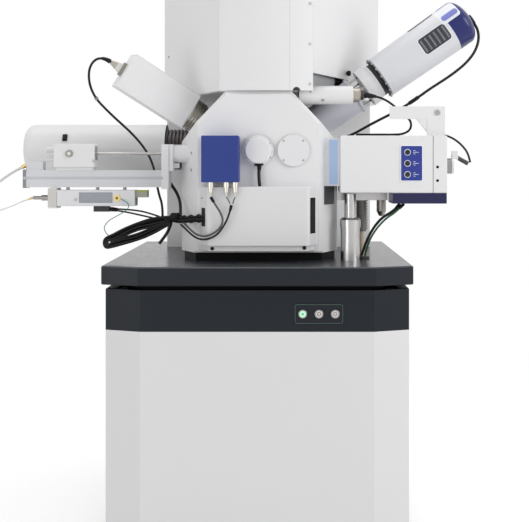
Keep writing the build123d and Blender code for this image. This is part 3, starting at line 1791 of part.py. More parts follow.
ebsd_mid_y = (ebsd_front_y + ebsd_back_y) / 2
ebsd_depth = ebsd_back_y - ebsd_front_y
with BuildPart() as ebsd_camera:
    with Locations((ebsd_left, ebsd_mid_y, ebsd_bottom)):
        Box(
            ebsd_right - ebsd_left,
            ebsd_depth,
            ebsd_top - ebsd_bottom,
            align=(Align.MIN, Align.CENTER, Align.MIN),
        )
    fillet(ebsd_camera.edges(), 2.5)
    with Locations((underbox_left, ebsd_mid_y, ebsd_bottom)):
        Box(
            ebsd_right - underbox_left - 1,
            ebsd_depth - 6,
            ebsd_bottom - underbox_bottom,
            align=(Align.MIN, Align.CENTER, Align.MAX),
        )
    with BuildSketch(Plane.YZ.offset(ebsd_left + 1)):
        with Locations((ebsd_arm_y, ebsd_arm_z)):
            Circle(ebsd_arm_radius)
    extrude(amount=ebsd_arm_tip - ebsd_left - 1)
    with Locations((label_left, ebsd_front_y, label_bottom)):
        Box(
            label_width,
            2 * label_thickness,
            label_height,
            align=(Align.MIN, Align.CENTER, Align.MIN),
        )
    for button in range(3):
        button_z = label_button_top_z - button * label_button_pitch
        with Locations((label_button_x, ebsd_front_y, button_z)):
            Cylinder(label_button_radius + 3, 3 * label_thickness, rotation=(90, 0, 0))
            Cylinder(label_button_radius, 5 * label_thickness, rotation=(90, 0, 0))
    with Locations((bracket_leg_left, bracket_y, ebsd_top - 1)):
        Box(
            50,
            bracket_thickness,
            bracket_top - ebsd_top + 1,
            align=(Align.MIN, Align.CENTER, Align.MIN),
        )
    with Locations((bracket_left, bracket_y, bracket_arm_bottom)):
        Box(
            bracket_leg_left - bracket_left + 50,
            bracket_thickness,
            bracket_top - bracket_arm_bottom,
            align=(Align.MIN, Align.CENTER, Align.MIN),
        )
    with Locations((ebsd_right - 1, ebsd_mid_y, side_socket_z)):
        Cylinder(
            side_socket_radius,
            side_socket_length,
            rotation=(0, 90, 0),
            align=(Align.CENTER, Align.CENTER, Align.MIN),
        )
    with Locations((ebsd_right - 1, ebsd_mid_y, side_socket_z - 45)):
        Box(8, 30, 22, align=(Align.MIN, Align.CENTER, Align.CENTER))
    with Locations((ebsd_right + side_socket_length - 4, ebsd_mid_y, side_plug_z)):
        Box(16, 16, 22, align=(Align.MIN, Align.CENTER, Align.CENTER))
        Cylinder(
            side_plug_radius,
            side_plug_length,
            rotation=(0, 119, 0),
            align=(Align.CENTER, Align.CENTER, Align.MIN),
        )
    with Locations((ebsd_seam_x, ebsd_mid_y, (ebsd_bottom + ebsd_top) / 2)):
        Box(1.2, ebsd_depth + 1, ebsd_top - ebsd_bottom + 1, mode=Mode.SUBTRACT)
        Box(1.2, ebsd_depth - 3, ebsd_top - ebsd_bottom - 3)
ebsd_camera.part.label = "ebsd_camera"
export_step(ebsd_camera.part, "parts/ebsd_camera.step")

# Pump-out pipes under the diffraction camera: a riser, a manifold, bellows and a probe
with BuildPart() as service_riser:
    with Locations((riser_x, riser_y, table_top_height)):
        Cylinder(
            riser_foot_radius,
            riser_foot_top - table_top_height,
            align=(Align.CENTER, Align.CENTER, Align.MIN),
        )
    with Locations((riser_x, riser_y, riser_foot_top)):
        Cylinder(
            riser_foot_radius + 2,
            riser_clamp_top - riser_foot_top,
            align=(Align.CENTER, Align.CENTER, Align.MIN),
        )
    chamfer(service_riser.faces().sort_by(Axis.Z)[-1].edges(), 6)
    with Locations((riser_x, riser_y, riser_clamp_top)):
        Cylinder(
            riser_radius,
            riser_top - riser_clamp_top,
            align=(Align.CENTER, Align.CENTER, Align.MIN),
        )

with BuildPart() as service_pipes:
    add(service_riser.part)
    with Locations((chamber_half_width, manifold_y, manifold_bottom)):
        Box(
            manifold_right - chamber_half_width,
            manifold_depth,
            manifold_top - manifold_bottom,
            align=(Align.MIN, Align.CENTER, Align.MIN),
        )
    with Locations((bellows_x, manifold_y, manifold_bottom)):
        Cylinder(
            bellows_radius - 4,
            manifold_bottom - bellows_bottom,
            align=(Align.CENTER, Align.CENTER, Align.MAX),
        )
    bellows_count = int((manifold_bottom - bellows_bottom) / bellows_pitch)
    for ring in range(bellows_count):
        with Locations((bellows_x, manifold_y, manifold_bottom - ring * bellows_pitch)):
            Cylinder(
                bellows_radius,
                bellows_pitch / 2,
                align=(Align.CENTER, Align.CENTER, Align.MAX),
            )
    with Locations((bellows_x, manifold_y, table_top_height)):
        Cylinder(
            drain_radius,
            bellows_bottom - table_top_height,
            align=(Align.CENTER, Align.CENTER, Align.MIN),
        )
    with Locations((probe_x, manifold_y, manifold_bottom)):
        Cylinder(
            probe_radius,
            manifold_bottom - probe_bottom - 14,
            align=(Align.CENTER, Align.CENTER, Align.MAX),
        )
    with Locations((probe_x, manifold_y, probe_bottom + 14)):
        Cone(
            probe_radius / 2,
            probe_radius,
            14,
            align=(Align.CENTER, Align.CENTER, Align.MAX),
        )
    with Locations((grommet_x, grommet_y, table_top_height)):
        Cylinder(
            grommet_radius,
            grommet_height,
            align=(Align.CENTER, Align.CENTER, Align.MIN),
        )
service_pipes.part.label = "service_pipes"
export_step(service_pipes.part, "parts/service_pipes.step")

# Cords: straight runs joined by tangent arcs, each arc as large as its two runs allow
arc_share = 0.45


def arc_radii(route):
    """One radius for each corner of the route."""
    sizes = []
    for before, corner, after in zip(route, route[1:], route[2:]):
        incoming = Vector(*corner) - Vector(*before)
        outgoing = Vector(*after) - Vector(*corner)
        half_turn = radians(incoming.get_angle(outgoing)) / 2
        sizes.append(arc_share * min(incoming.length, outgoing.length) / tan(half_turn))
    return sizes


def cord(name, diameter, route):
    """A round cord along the route; prints its length, volume and smallest radius."""
    sizes = arc_radii(route)
    with BuildPart() as tube:
        with BuildLine():
            path = FilletPolyline(*route, radius=sizes)
        with BuildSketch(Plane(origin=path @ 0, z_dir=path % 0)):
            Circle(diameter / 2)
        sweep()
    expected = pi * diameter**2 / 4 * path.length
    print(
        name,
        "length",
        round(path.length),
        "volume share",
        round(tube.part.volume / expected, 3),
        "radii",
        [round(size) for size in sizes],
    )
    return tube.part



se_cable_route = [
    (-419, -229.2, 1348.1),
    (-433, -234.9, 1357.4),
    (-458, -236, 1358),
    (-478, -226, 1340),
    (-487, -208, 1312),
    (-486, -186, 1280),
    (-473, -165, 1247.6),
    (-447.9, -148.2, 1219.1),
    (-420.4, -144.9, 1192.2),
    (-391.5, -144.4, 1166.5),
    (-363.9, -145.4, 1139.5),
    (-339, -147.5, 1110.1),
    (-318.4, -150.1, 1077.5),
    (-305.8, -154.3, 1041.3),
    (-298.4, -163.5, 1004.6),
    (-289.2, -179.5, 970.7),
    (-276.5, -201.2, 941.5),
    (-272, -238, 912.8),
]

# Lead from the secondary electron detector, behind the long rail to the knot
with BuildPart() as se_cable:
    add(cord("se_cable", se_cable_diameter, se_cable_route))
se_cable.part.label = "se_cable"
export_step(se_cable.part, "parts/se_cable.step")

left_drop_cable_route = [
    (-270.9, -167, 1025.1),
    (-253.9, -175.1, 999.8),
    (-237.1, -189.1, 977.1),
    (-226.8, -211.1, 957.3),
    (-221, -236.1, 938.9),
    (-217.6, -262, 921.2),
]

# Thick lead from behind the rail's plate to the knot
with BuildPart() as left_drop_cable:
    add(cord("left_drop_cable", left_drop_cable_diameter, left_drop_cable_route))
left_drop_cable.part.label = "left_drop_cable"
export_step(left_drop_cable.part, "parts/left_drop_cable.step")

preamp_lead_a_route = [
    (-422.5, -219, 933),
    (-388.2, -221, 931.5),
    (-354, -223.9, 928.9),
    (-320.2, -228.6, 924.8),
    (-287.8, -238, 918.6),
]

preamp_lead_b_route = [
    (-422.5, -231, 931),
    (-381.9, -233.4, 925.5),
    (-341.6, -236.1, 917.9),
    (-301.3, -242, 913.2),
]

teal_wire_route = [
    (-387, -244.6, 961),
    (-378.8, -250.5, 955.8),
    (-368.3, -250.5, 950.8),
    (-365, -249.3, 940.8),
    (-370.8, -246.6, 931.3),
    (-379.6, -242.1, 925.2),
    (-388.5, -236.7, 919.9),
    (-397.2, -230.5, 915.4),
    (-405.9, -224.1, 911),
    (-414.6, -217.9, 906.4),
    (-423.3, -211.6, 901.8),
    (-431.5, -206.1, 895.8),
    (-438.9, -202.4, 887.6),
    (-444, -200.1, 877.5),
    (-441.1, -199.5, 866.6),
    (-433.7, -201.5, 857.9),
    (-424.7, -205, 851.5),
]

# Two leads and a thin wire from the preamplifier
with BuildPart() as preamp_leads:
    add(cord("preamp_lead_a", preamp_lead_a_diameter, preamp_lead_a_route))
    add(cord("preamp_lead_b", preamp_lead_b_diameter, preamp_lead_b_route))
    add(cord("teal_wire", teal_wire_diameter, teal_wire_route))
preamp_leads.part.label = "preamp_leads"
export_step(preamp_leads.part, "parts/preamp_leads.step")

door_cable_a_route = [
    (-127, -361, 970.6),
    (-115.1, -364.6, 950.3),
    (-101.3, -365, 930.7),
    (-92.5, -365, 908.4),
    (-100.7, -365.2, 887),
    (-119.5, -364.9, 872.1),
    (-142, -363.8, 863.8),
    (-163, -353.9, 866.8),
    (-179.2, -338.9, 876.2),
    (-192.5, -321.4, 885.9),
    (-203, -300, 889),
]

door_cable_b_route = [
    (-70.9, -363, 948.9),
    (-76.2, -365.1, 926.6),
    (-84.6, -365, 905),
    (-96.4, -365.2, 885.1),
    (-111.2, -365.1, 867.5),
    (-131.8, -364.6, 857.3),
    (-154.1, -360.1, 855.1),
    (-172.8, -348.7, 862.3),
    (-188.4, -335, 872.4),
    (-201.2, -318.2, 881.4),
    (-210, -297, 884),
]

door_twig_a_route = [
    (-85, -361, 970.6),
    (-78.7, -362.5, 961.8),
    (-74.4, -363, 951.6),
]

door_twig_b_route = [
    (-61, -361, 970.6),
    (-65.2, -362.5, 961.6),
    (-67.4, -363, 951.6),
]

camera_lead_route = [
    (3, -309, 1058),
    (1.5, -311, 1038.2),
    (2, -313, 1018.4),
    (4, -312, 998.6),
]

# Leads on the door: from its box's plugs to the knot, and one from the camera
with BuildPart() as door_cables:
    add(cord("door_cable_a", door_cable_a_diameter, door_cable_a_route))
    add(cord("door_cable_b", door_cable_b_diameter, door_cable_b_route))
    add(cord("door_twig_a", door_twig_a_diameter, door_twig_a_route))
    add(cord("door_twig_b", door_twig_b_diameter, door_twig_b_route))
    add(cord("camera_lead", camera_lead_diameter, camera_lead_route))
door_cables.part.label = "door_cables"
export_step(door_cables.part, "parts/door_cables.step")

eds_cable_route = [
    (610, -120, 1493.4),
    (632.8, -130.3, 1468.5),
    (640.2, -141, 1427.9),
    (627.2, -148.4, 1387.8),
    (600.5, -151.9, 1353.9),
    (567.2, -153.7, 1326.3),
    (531.5, -153.8, 1301.8),
    (495, -152.4, 1278.7),
    (459.9, -150.8, 1253.3),
    (424, -149.4, 1229.1),
    (386.5, -148.2, 1207.6),
    (347.7, -146.8, 1188.3),
    (309.5, -145.6, 1168.1),
    (272.1, -145, 1146.3),
    (232, -146, 1130),
]

# Lead of the X-ray detector
with BuildPart() as eds_cable:
    add(cord("eds_cable", eds_cable_diameter, eds_cable_route))
eds_cable.part.label = "eds_cable"
export_step(eds_cable.part, "parts/eds_cable.step")

vpse_cable_route = [
    (296, -235, 1254),
    (322.2, -235, 1252),
    (347.6, -235, 1245.3),
    (370.4, -235, 1232.4),
    (390.4, -235, 1215.2),
    (410.4, -235, 1198.2),
    (429.7, -235.8, 1180.4),
    (427.8, -237, 1155.7),
    (405.2, -239.5, 1143.6),
    (379, -241.3, 1142.1),
    (352.7, -242, 1142.3),
    (326.4, -241.1, 1142.3),
    (300.1, -239.1, 1142.3),
    (274, -236, 1142.3),
]

# Lead of the horizontal detector tube, laid along the diffraction camera
with BuildPart() as vpse_cable:
    add(cord("vpse_cable", vpse_cable_diameter, vpse_cable_route))
vpse_cable.part.label = "vpse_cable"
export_step(vpse_cable.part, "parts/vpse_cable.step")

ebsd_side_cable_route = [
    (500, -235, 1141.6),
    (522.7, -235, 1141.8),
    (544.1, -235, 1134),
    (563, -235, 1121.4),
    (579.1, -235, 1105.3),
    (591.5, -235, 1086.3),
    (596, -235, 1064),
]

# Short lead on the diffraction camera's right side
with BuildPart() as ebsd_side_cable:
    add(cord("ebsd_side_cable", ebsd_side_cable_diameter, ebsd_side_cable_route))
ebsd_side_cable.part.label = "ebsd_side_cable"
export_step(ebsd_side_cable.part, "parts/ebsd_side_cable.step")

tank_lead_a_route = [
    (400, -228, 947),
    (379.8, -226.8, 925.5),
    (351.2, -223.5, 910.3),
    (330, -217.3, 886.3),
    (313.7, -211.2, 858.8),
    (301.1, -206.8, 829),
    (291, -205, 798),
]

tank_lead_b_route = [
    (409, -237, 948),
    (388, -235.9, 925.3),
    (360.5, -232.8, 907.8),
    (338.5, -225.9, 884.5),
    (320.7, -218, 858.1),
    (308.2, -209.9, 829),
    (301, -202, 798),
]

# Two leads from under the diffraction camera to the table
with BuildPart() as tank_leads:
    add(cord("tank_lead_a", tank_lead_a_diameter, tank_lead_a_route))
    add(cord("tank_lead_b", tank_lead_b_diameter, tank_lead_b_route))
tank_leads.part.label = "tank_leads"
export_step(tank_leads.part, "parts/tank_leads.step")

air_hose_route = [
    (-660, -215, 1057),
    (-692.7, -215, 1041.4),
    (-722.7, -215, 1021.2),
    (-751.9, -215.1, 999.7),
    (-781.7, -214.7, 979.1),
    (-815.2, -212, 962.2),
]

coax_lead_route = [
    (-643.4, -215, 963.5),
    (-668.4, -216.7, 955.6),
    (-693.1, -217.8, 943.9),
    (-718.5, -218.3, 933.9),
    (-744.7, -218, 926.1),
    (-771.8, -216.2, 922.8),
    (-799, -214, 921),
]

# Air hose and thin lead that leave to the left
with BuildPart() as air_hoses:
    add(cord("air_hose", air_hose_diameter, air_hose_route))
    add(cord("coax_lead", coax_lead_diameter, coax_lead_route))
air_hoses.part.label = "air_hoses"
export_step(air_hoses.part, "parts/air_hoses.step")

# Bundle at the knot, its hank and the short stub that hangs from it
with BuildPart() as cable_hank:
    with BuildSketch(Plane.XZ.offset(-hank_y - hank_thickness / 2)):
        add(outline(hank_outline))
    extrude(amount=hank_thickness)
    fillet(cable_hank.edges().filter_by(Axis.Y), 4)
    fillet(cable_hank.faces().sort_by(Axis.Y)[0].edges(), 8)
    fillet(cable_hank.faces().sort_by(Axis.Y)[-1].edges(), 8)
    add(cord("bundle", 2 * bundle_radius, bundle_route))
    add(cord("tail", tail_diameter, tail_route))
cable_hank.part.label = "cable_hank"
export_step(cable_hank.part, "parts/cable_hank.step")

# Coil of the air hose, just past the left edge of the view, with its connector
with BuildPart() as hose_coil:
    with Locations((coil_x, coil_y, coil_z)):
        Torus(coil_radius, coil_thickness, rotation=(90, 0, 0))
    with Locations((coil_x, coil_y, coil_z - coil_radius)):
        Cylinder(6, 46, align=(Align.CENTER, Align.CENTER, Align.MAX))
hose_coil.part.label = "hose_coil"
export_step(hose_coil.part, "parts/hose_coil.step")
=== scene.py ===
import bmesh
import bpy
import json
import random
from math import cos, pi, radians, sin
from mathutils import Matrix, Vector
from mathutils.bvhtree import BVHTree

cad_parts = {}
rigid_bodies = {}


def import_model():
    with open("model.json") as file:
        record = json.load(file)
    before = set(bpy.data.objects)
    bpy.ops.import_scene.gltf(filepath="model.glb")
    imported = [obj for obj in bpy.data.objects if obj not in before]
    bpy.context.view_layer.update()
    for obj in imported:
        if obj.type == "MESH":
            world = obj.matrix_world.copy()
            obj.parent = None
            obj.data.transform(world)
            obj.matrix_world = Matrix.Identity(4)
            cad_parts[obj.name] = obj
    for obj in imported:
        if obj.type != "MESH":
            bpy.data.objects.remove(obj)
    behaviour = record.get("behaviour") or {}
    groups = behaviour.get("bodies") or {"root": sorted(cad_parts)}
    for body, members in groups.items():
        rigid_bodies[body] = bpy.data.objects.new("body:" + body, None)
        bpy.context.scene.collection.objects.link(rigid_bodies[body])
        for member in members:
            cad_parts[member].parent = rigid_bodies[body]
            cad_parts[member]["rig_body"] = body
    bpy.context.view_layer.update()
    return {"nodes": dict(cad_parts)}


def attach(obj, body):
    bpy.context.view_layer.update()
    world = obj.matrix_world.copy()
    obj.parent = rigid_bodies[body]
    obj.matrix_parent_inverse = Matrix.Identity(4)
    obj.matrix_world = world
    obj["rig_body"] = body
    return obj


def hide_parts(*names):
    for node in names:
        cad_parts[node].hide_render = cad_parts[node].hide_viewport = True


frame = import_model()
nodes = frame["nodes"]


def mm(*place):
    """A place or size given in millimetres, in metres."""
    return Vector(place) / 1000.0


def tint(red, green, blue):
    """A paint colour as it is seen, 0 to 255, as the linear colour of a shader."""
    linear = []
    for part in (red, green, blue):
        part /= 255.0
        linear.append(part / 12.92 if part <= 0.04045 else ((part + 0.055) / 1.055) ** 2.4)
    return (*linear, 1.0)


def put_in(tree, family="ShaderNode"):
    """A short way to place a node in a tree: its inputs are values, outputs or whole nodes."""

    def put(kind, feed=None, **settings):
        node = tree.nodes.new(family + kind)
        for key, value in settings.items():
            setattr(node, key, value)
        for key, value in (feed or {}).items():
            if isinstance(value, bpy.types.Node):
                value = value.outputs[0]
            if isinstance(value, bpy.types.NodeSocket):
                tree.links.new(value, node.inputs[key])
            else:
                node.inputs[key].default_value = value
        return node

    return put


def seen_rays(put):
    """1 on rays from the camera, a mirror or a glass, 0 on those that only carry light."""
    rays = put("LightPath").outputs
    seen = put("Math", {0: rays["Is Camera Ray"], 1: rays["Is Glossy Ray"]}, operation="MAXIMUM")
    seen = put("Math", {0: seen, 1: rays["Is Transmission Ray"]}, operation="MAXIMUM")
    return seen.outputs[0]


# Camera, lamps and sky
camera_data = bpy.data.cameras.new("camera")
camera = bpy.data.objects.new("camera", camera_data)
camera.location = (0.076, -3.072, 1.054)
camera.rotation_euler = (radians(90), 0, 0)
camera_data.lens = 68.4
camera_data.sensor_width = 36.0
camera_data.shift_x = -0.0406
camera_data.shift_y = -0.1796
camera_data.clip_end = 60
bpy.context.scene.collection.objects.link(camera)
bpy.context.scene.camera = camera


def soft_lamp(name, place, aim, size, power):
    """A square studio lamp at a place, turned to what it lights."""
    lamp_data = bpy.data.lights.new(name, "AREA")
    lamp_data.size = size
    lamp_data.energy = power
    lamp = bpy.data.objects.new(name, lamp_data)
    lamp.location = place
    lamp.rotation_euler = (Vector(aim) - Vector(place)).to_track_quat("-Z", "Y").to_euler()
    bpy.context.scene.collection.objects.link(lamp)


soft_lamp("key_lamp", (3.9, -2.5, 2.5), (0.1, -0.1, 1.1), 2.4, 95)
soft_lamp("fill_lamp", (-2.8, -3.4, 1.2), (-0.1, -0.1, 0.8), 2.4, 34)
soft_lamp("top_lamp", (-0.3, 0.2, 4.2), (0.0, 0.0, 1.0), 2.6, 45)

bpy.context.scene.view_settings.view_transform = "Standard"

world = bpy.data.worlds.new("studio")
bpy.context.scene.world = world
world.use_nodes = True
sky = world.node_tree
sky.nodes.clear()
put = put_in(sky)
sky_level = put("MapRange", {"Value": seen_rays(put), "To Min": 0.52, "To Max": 1.0})
sky_light = put("Background", {"Color": (1.0, 1.0, 1.0, 1.0), "Strength": sky_level})
put("OutputWorld", {"Surface": sky_light})


# Shader groups
FLOAT, VECTOR, COLOUR = "NodeSocketFloat", "NodeSocketVector", "NodeSocketColor"


def shader_group(name, gives, **wants):
    """An empty shader group, its put, in and out; a want is a kind of socket or a default."""
    group = bpy.data.node_groups.new(name, "ShaderNodeTree")
    for title, want in wants.items():
        kind = {float: FLOAT, tuple: VECTOR}.get(type(want), want)
        socket = group.interface.new_socket(title, in_out="INPUT", socket_type=kind)
        if kind != want:
            socket.default_value = want
    for title, kind in gives.items():
        group.interface.new_socket(title, in_out="OUTPUT", socket_type=kind)
    start = group.nodes.new("NodeGroupInput")
    end = group.nodes.new("NodeGroupOutput")
    return group, put_in(group), start.outputs, end.inputs


detail_gives = {"Colour": COLOUR, "Roughness": FLOAT, "Height": FLOAT}


def detail(group, put, given, out, tone, swing, relief, patch, low, high):
    """Swings the colour with one noise and the roughness with another, and gives a relief."""
    centred = put("Math", {0: tone.outputs["Fac"], 1: 0.5}, operation="SUBTRACT")
    swung = put("Math", {0: centred, 1: given[swing]}, operation="MULTIPLY")
    gain = put("Math", {0: swung, 1: 1.0}, operation="ADD")
    shade = put("VectorMath", {0: given["Colour"], "Scale": gain}, operation="SCALE")
    dull = put("MapRange", {"Value": patch.outputs["Fac"], "To Min": low, "To Max": high})
    rough = put("Math", {0: given["Roughness"], 1: dull}, operation="ADD")
    for made, title in ((shade, "Colour"), (rough, "Roughness"), (relief, "Height")):
        group.links.new(made.outputs[0], out[title])
    return group


def paint_coat_group():
    """Sprayed and baked paint: a fine orange peel, a slow drift in tone, clean and dull patches."""
    group, put, given, out = shader_group(
        "paint_coat", detail_gives,
        Vector=VECTOR, Colour=COLOUR, Roughness=0.45, Drift=0.03, Grain=900.0,
    )
    peel = put("TexNoise", {"Vector": given["Vector"], "Scale": given["Grain"], "Detail": 2.0})
    drift = put("TexNoise", {"Vector": given["Vector"], "Scale": 5.0, "Detail": 3.0})
    patch = put("TexNoise", {"Vector": given["Vector"], "Scale": 45.0, "Detail": 4.0})
    return detail(group, put, given, out, drift, "Drift", peel, patch, -0.06, 0.06)


def metal_grain_group():
    """Worked metal: fine streaks along one way of the part, and dull and clean patches."""
    group, put, given, out = shader_group(
        "metal_grain", detail_gives,
        Vector=VECTOR, Stretch=VECTOR, Colour=COLOUR, Roughness=0.3, Depth=0.12,
    )
    drawn = put("VectorMath", {0: given["Vector"], 1: given["Stretch"]}, operation="MULTIPLY")
    streak = put("TexNoise", {"Vector": drawn, "Scale": 1.0, "Detail": 5.0})
    patch = put("TexNoise", {"Vector": given["Vector"], "Scale": 30.0, "Detail": 3.0})
    return detail(group, put, given, out, streak, "Depth", streak, patch, -0.05, 0.08)


def box_zone_group():
    """1 inside a box from Low to High with corners of radius Round, 0 outside."""
    group, put, given, out = shader_group(
        "box_zone", {"Mask": FLOAT}, Vector=VECTOR, Low=VECTOR, High=VECTOR, Round=0.0001
    )
    both = put("VectorMath", {0: given["Low"], 1: given["High"]}, operation="ADD")
    middle = put("VectorMath", {0: both, "Scale": 0.5}, operation="SCALE")
    span = put("VectorMath", {0: given["High"], 1: given["Low"]}, operation="SUBTRACT")
    half = put("VectorMath", {0: span, "Scale": 0.5}, operation="SCALE")
    core = put("VectorMath", {0: half, 1: given["Round"]}, operation="SUBTRACT")
    away = put("VectorMath", {0: given["Vector"], 1: middle}, operation="SUBTRACT")
    reach = put("VectorMath", {0: away}, operation="ABSOLUTE")
    past = put("VectorMath", {0: reach, 1: core}, operation="SUBTRACT")
    outer = put("VectorMath", {0: past, 1: (0.0, 0.0, 0.0)}, operation="MAXIMUM")
    far = put("VectorMath", {0: outer}, operation="LENGTH")
    inside = put("Math", {0: far.outputs["Value"], 1: given["Round"]}, operation="LESS_THAN")
    group.links.new(inside.outputs[0], out["Mask"])
    return group


def disc_zone_group():
    """1 nearer to an axis through Centre than Radius, 0 outside; Across flattens the axis away."""
    group, put, given, out = shader_group(
        "disc_zone", {"Mask": FLOAT},
        Vector=VECTOR, Centre=VECTOR, Across=(1.0, 0.0, 1.0), Radius=0.01,
    )
    away = put("VectorMath", {0: given["Vector"], 1: given["Centre"]}, operation="SUBTRACT")
    flat = put("VectorMath", {0: away, 1: given["Across"]}, operation="MULTIPLY")
    far = put("VectorMath", {0: flat}, operation="LENGTH")
    inside = put("Math", {0: far.outputs["Value"], 1: given["Radius"]}, operation="LESS_THAN")
    group.links.new(inside.outputs[0], out["Mask"])
    return group


paint_coat = paint_coat_group()
metal_grain = metal_grain_group()
box_zone = box_zone_group()
disc_zone = disc_zone_group()


class Finish:
    """A finish in the making: a plain base, zones painted over it, then its surface detail."""

    def __init__(self, name, colour, roughness, metallic=0.0, **shader):
        self.material = bpy.data.materials.new(name)
        self.material.use_nodes = True
        self.tree = self.material.node_tree
        self.shader = self.tree.nodes["Principled BSDF"]
        self.put = put_in(self.tree)
        for title, value in shader.items():
            self.shader.inputs[title.replace("_", " ")].default_value = value
        self.place = self.put("TexCoord").outputs["Object"]
        self.colour, self.roughness, self.metallic = colour, roughness, metallic

    def turned(self, origin, turn):
        """Coordinates with their origin moved to a place of the part and turned with it."""
        return self.put(
            "Mapping",
            {"Vector": self.place, "Location": origin, "Rotation": turn},
            vector_type="TEXTURE",
        ).outputs["Vector"]

    def group(self, group, **feed):
        node = self.put("Group", node_tree=group)
        for title, value in feed.items():
            if isinstance(value, bpy.types.NodeSocket):
                self.tree.links.new(value, node.inputs[title])
            else:
                node.inputs[title].default_value = value
        return node.outputs

    def mix(self, mask, under, over, colour=False):
        """Over where the mask is 1, under elsewhere."""
        first, kind = (6, "RGBA") if colour else (2, "FLOAT")
        node = self.put(
            "Mix", {0: mask, first: under, first + 1: over}, data_type=kind
        )
        return node.outputs[2 if colour else 0]

    def both(self, first, second):
        """1 where both masks are 1."""
        return self.put("Math", {0: first, 1: second}, operation="MULTIPLY").outputs[0]

    def without(self, mask, cut):
        """1 where the first mask is 1 and the second isn't."""
        left = self.put("Math", {0: mask, 1: cut}, operation="SUBTRACT").outputs[0]
        return self.put("Math", {0: left, 1: 0.0}, operation="MAXIMUM").outputs[0]

    def box(self, low, high, place=None, corner=0.05):
        return self.group(
            box_zone,
            Vector=place or self.place,
            Low=mm(*low),
            High=mm(*high),
            Round=corner / 1000.0,
        )["Mask"]

    def disc(self, centre, radius, across=(1, 0, 1), place=None):
        return self.group(
            disc_zone,
            Vector=place or self.place,
            Centre=mm(*centre),
            Across=across,
            Radius=radius / 1000.0,
        )["Mask"]

    def ring(self, centre, outer, inner):
        """1 between two circles round a centre, seen from the front."""
        return self.without(self.disc(centre, outer), self.disc(centre, inner))

    def over(self, mask, colour, roughness=None, metallic=None):
        """Paints a zone over what is there."""
        self.colour = self.mix(mask, self.colour, colour, colour=True)
        if roughness is not None:
            self.roughness = self.mix(mask, self.roughness, roughness)
        if metallic is not None or isinstance(self.metallic, bpy.types.NodeSocket):
            self.metallic = self.mix(mask, self.metallic, metallic or 0.0)
        return self

    def patch(self, low, high, *paint, **where):
        """Paints the inside of a box."""
        return self.over(self.box(low, high, **where), *paint)

    def finished(self, detail, bump, **feed):
        """Runs the colour and roughness through a detail group and wires the shader."""
        made = self.group(
            detail, Vector=self.place, Colour=self.colour, Roughness=self.roughness, **feed
        )
        link = self.tree.links.new
        link(made["Colour"], self.shader.inputs["Base Color"])
        link(made["Roughness"], self.shader.inputs["Roughness"])
        if isinstance(self.metallic, bpy.types.NodeSocket):
            link(self.metallic, self.shader.inputs["Metallic"])
        else:
            self.shader.inputs["Metallic"].default_value = self.metallic
        relief = self.put(
            "Bump", {"Height": made["Height"], "Distance": bump / 1000.0, "Strength": 1.0}
        )
        link(relief.outputs["Normal"], self.shader.inputs["Normal"])
        return self.material


# Colours of the finishes
instrument_white = tint(228, 228, 229)
console_white = tint(219, 218, 219)
band_grey = tint(30, 34, 40)
deep_black = tint(5, 5, 8)
soft_black = tint(22, 22, 24)
bright_steel = tint(176, 174, 172)
pale_alu = tint(214, 214, 212)
box_blue = tint(26, 50, 128)
cap_blue = tint(14, 24, 96)
navy = tint(4, 6, 66)


def painted(name, colour, roughness=0.42, drift=0.03, bump=0.02, grain=900.0, **shader):
    return Finish(name, colour, roughness, **shader).finished(
        paint_coat, bump, Drift=drift, Grain=grain
    )


def metal(name, colour, roughness=0.3, stretch=(400, 400, 400), depth=0.15, bump=0.01, **shader):
    return Finish(name, colour, roughness, 1.0, **shader).finished(
        metal_grain, bump, Stretch=stretch, Depth=depth
    )


white_enamel = painted("white_enamel", instrument_white, 0.38, 0.02, 0.02)
console_enamel = painted("console_enamel", console_white, 0.5, 0.025, 0.03, 700.0)
band_paint = painted("band_paint", band_grey, 0.42, 0.08, 0.02, Specular_IOR_Level=0.18)
black_paint = painted("black_paint", deep_black, 0.5, 0.1, 0.02, Specular_IOR_Level=0.12)
frame_paint = painted("frame_paint", tint(58, 60, 64), 0.5, 0.08, 0.03)
rubber = painted("mount_rubber", soft_black, 0.75, 0.12, 0.05, 500.0, Specular_IOR_Level=0.3)
foot_steel = metal("zinc_plate", tint(150, 148, 142), 0.42, depth=0.3)
steel = metal("turned_steel", bright_steel, 0.26, (900, 900, 60))
aluminium = metal("milled_aluminium", pale_alu, 0.36, (60, 700, 700))
cable_black = painted(
    "cable_sheath", tint(14, 14, 16), 0.4, 0.2, 0.05, 1400.0, Specular_IOR_Level=0.3
)
cable_grey = painted("grey_sheath", tint(70, 71, 72), 0.45, 0.15, 0.05, 1400.0)
teal_sheath = painted("teal_sheath", tint(60, 132, 128), 0.4, 0.15, 0.03, 1400.0)
green_sheath = painted("green_sheath", tint(38, 92, 58), 0.4, 0.15, 0.03, 1400.0)
hose_white = painted("air_hose_white", tint(206, 207, 208), 0.3, 0.06, 0.02, 600.0)


def dress(material, *names):
    """Gives CAD nodes one finish."""
    for name in names:
        nodes[name].data.materials.clear()
        nodes[name].data.materials.append(material)


dress(
    white_enamel,
    "column_cover_left",
    "column_cover_right",
    "tower_cap",
    "tower_rear_housing",
    "rear_cabinet",
    "door_plate",
)
dress(console_enamel, "front_panel", "side_panels", "rear_panel")
dress(band_paint, "control_band")
dress(
    black_paint,
    "chamber_base",
    "isolation_deck",
    "base_chassis",
    "electronics_rack",
    "backing_pump",
)
dress(frame_paint, "support_frame")
dress(rubber, "air_mounts")
dress(foot_steel, "levelling_feet")
dress(steel, "electron_column", "pole_piece", "turbo_pump", "stage_tilt_cradle", "stage_turntable")
dress(
    aluminium,
    "column_base_plate",
    "stage_base",
    "stage_lift_yoke",
    "stage_x_carriage",
    "stage_y_carriage",
)
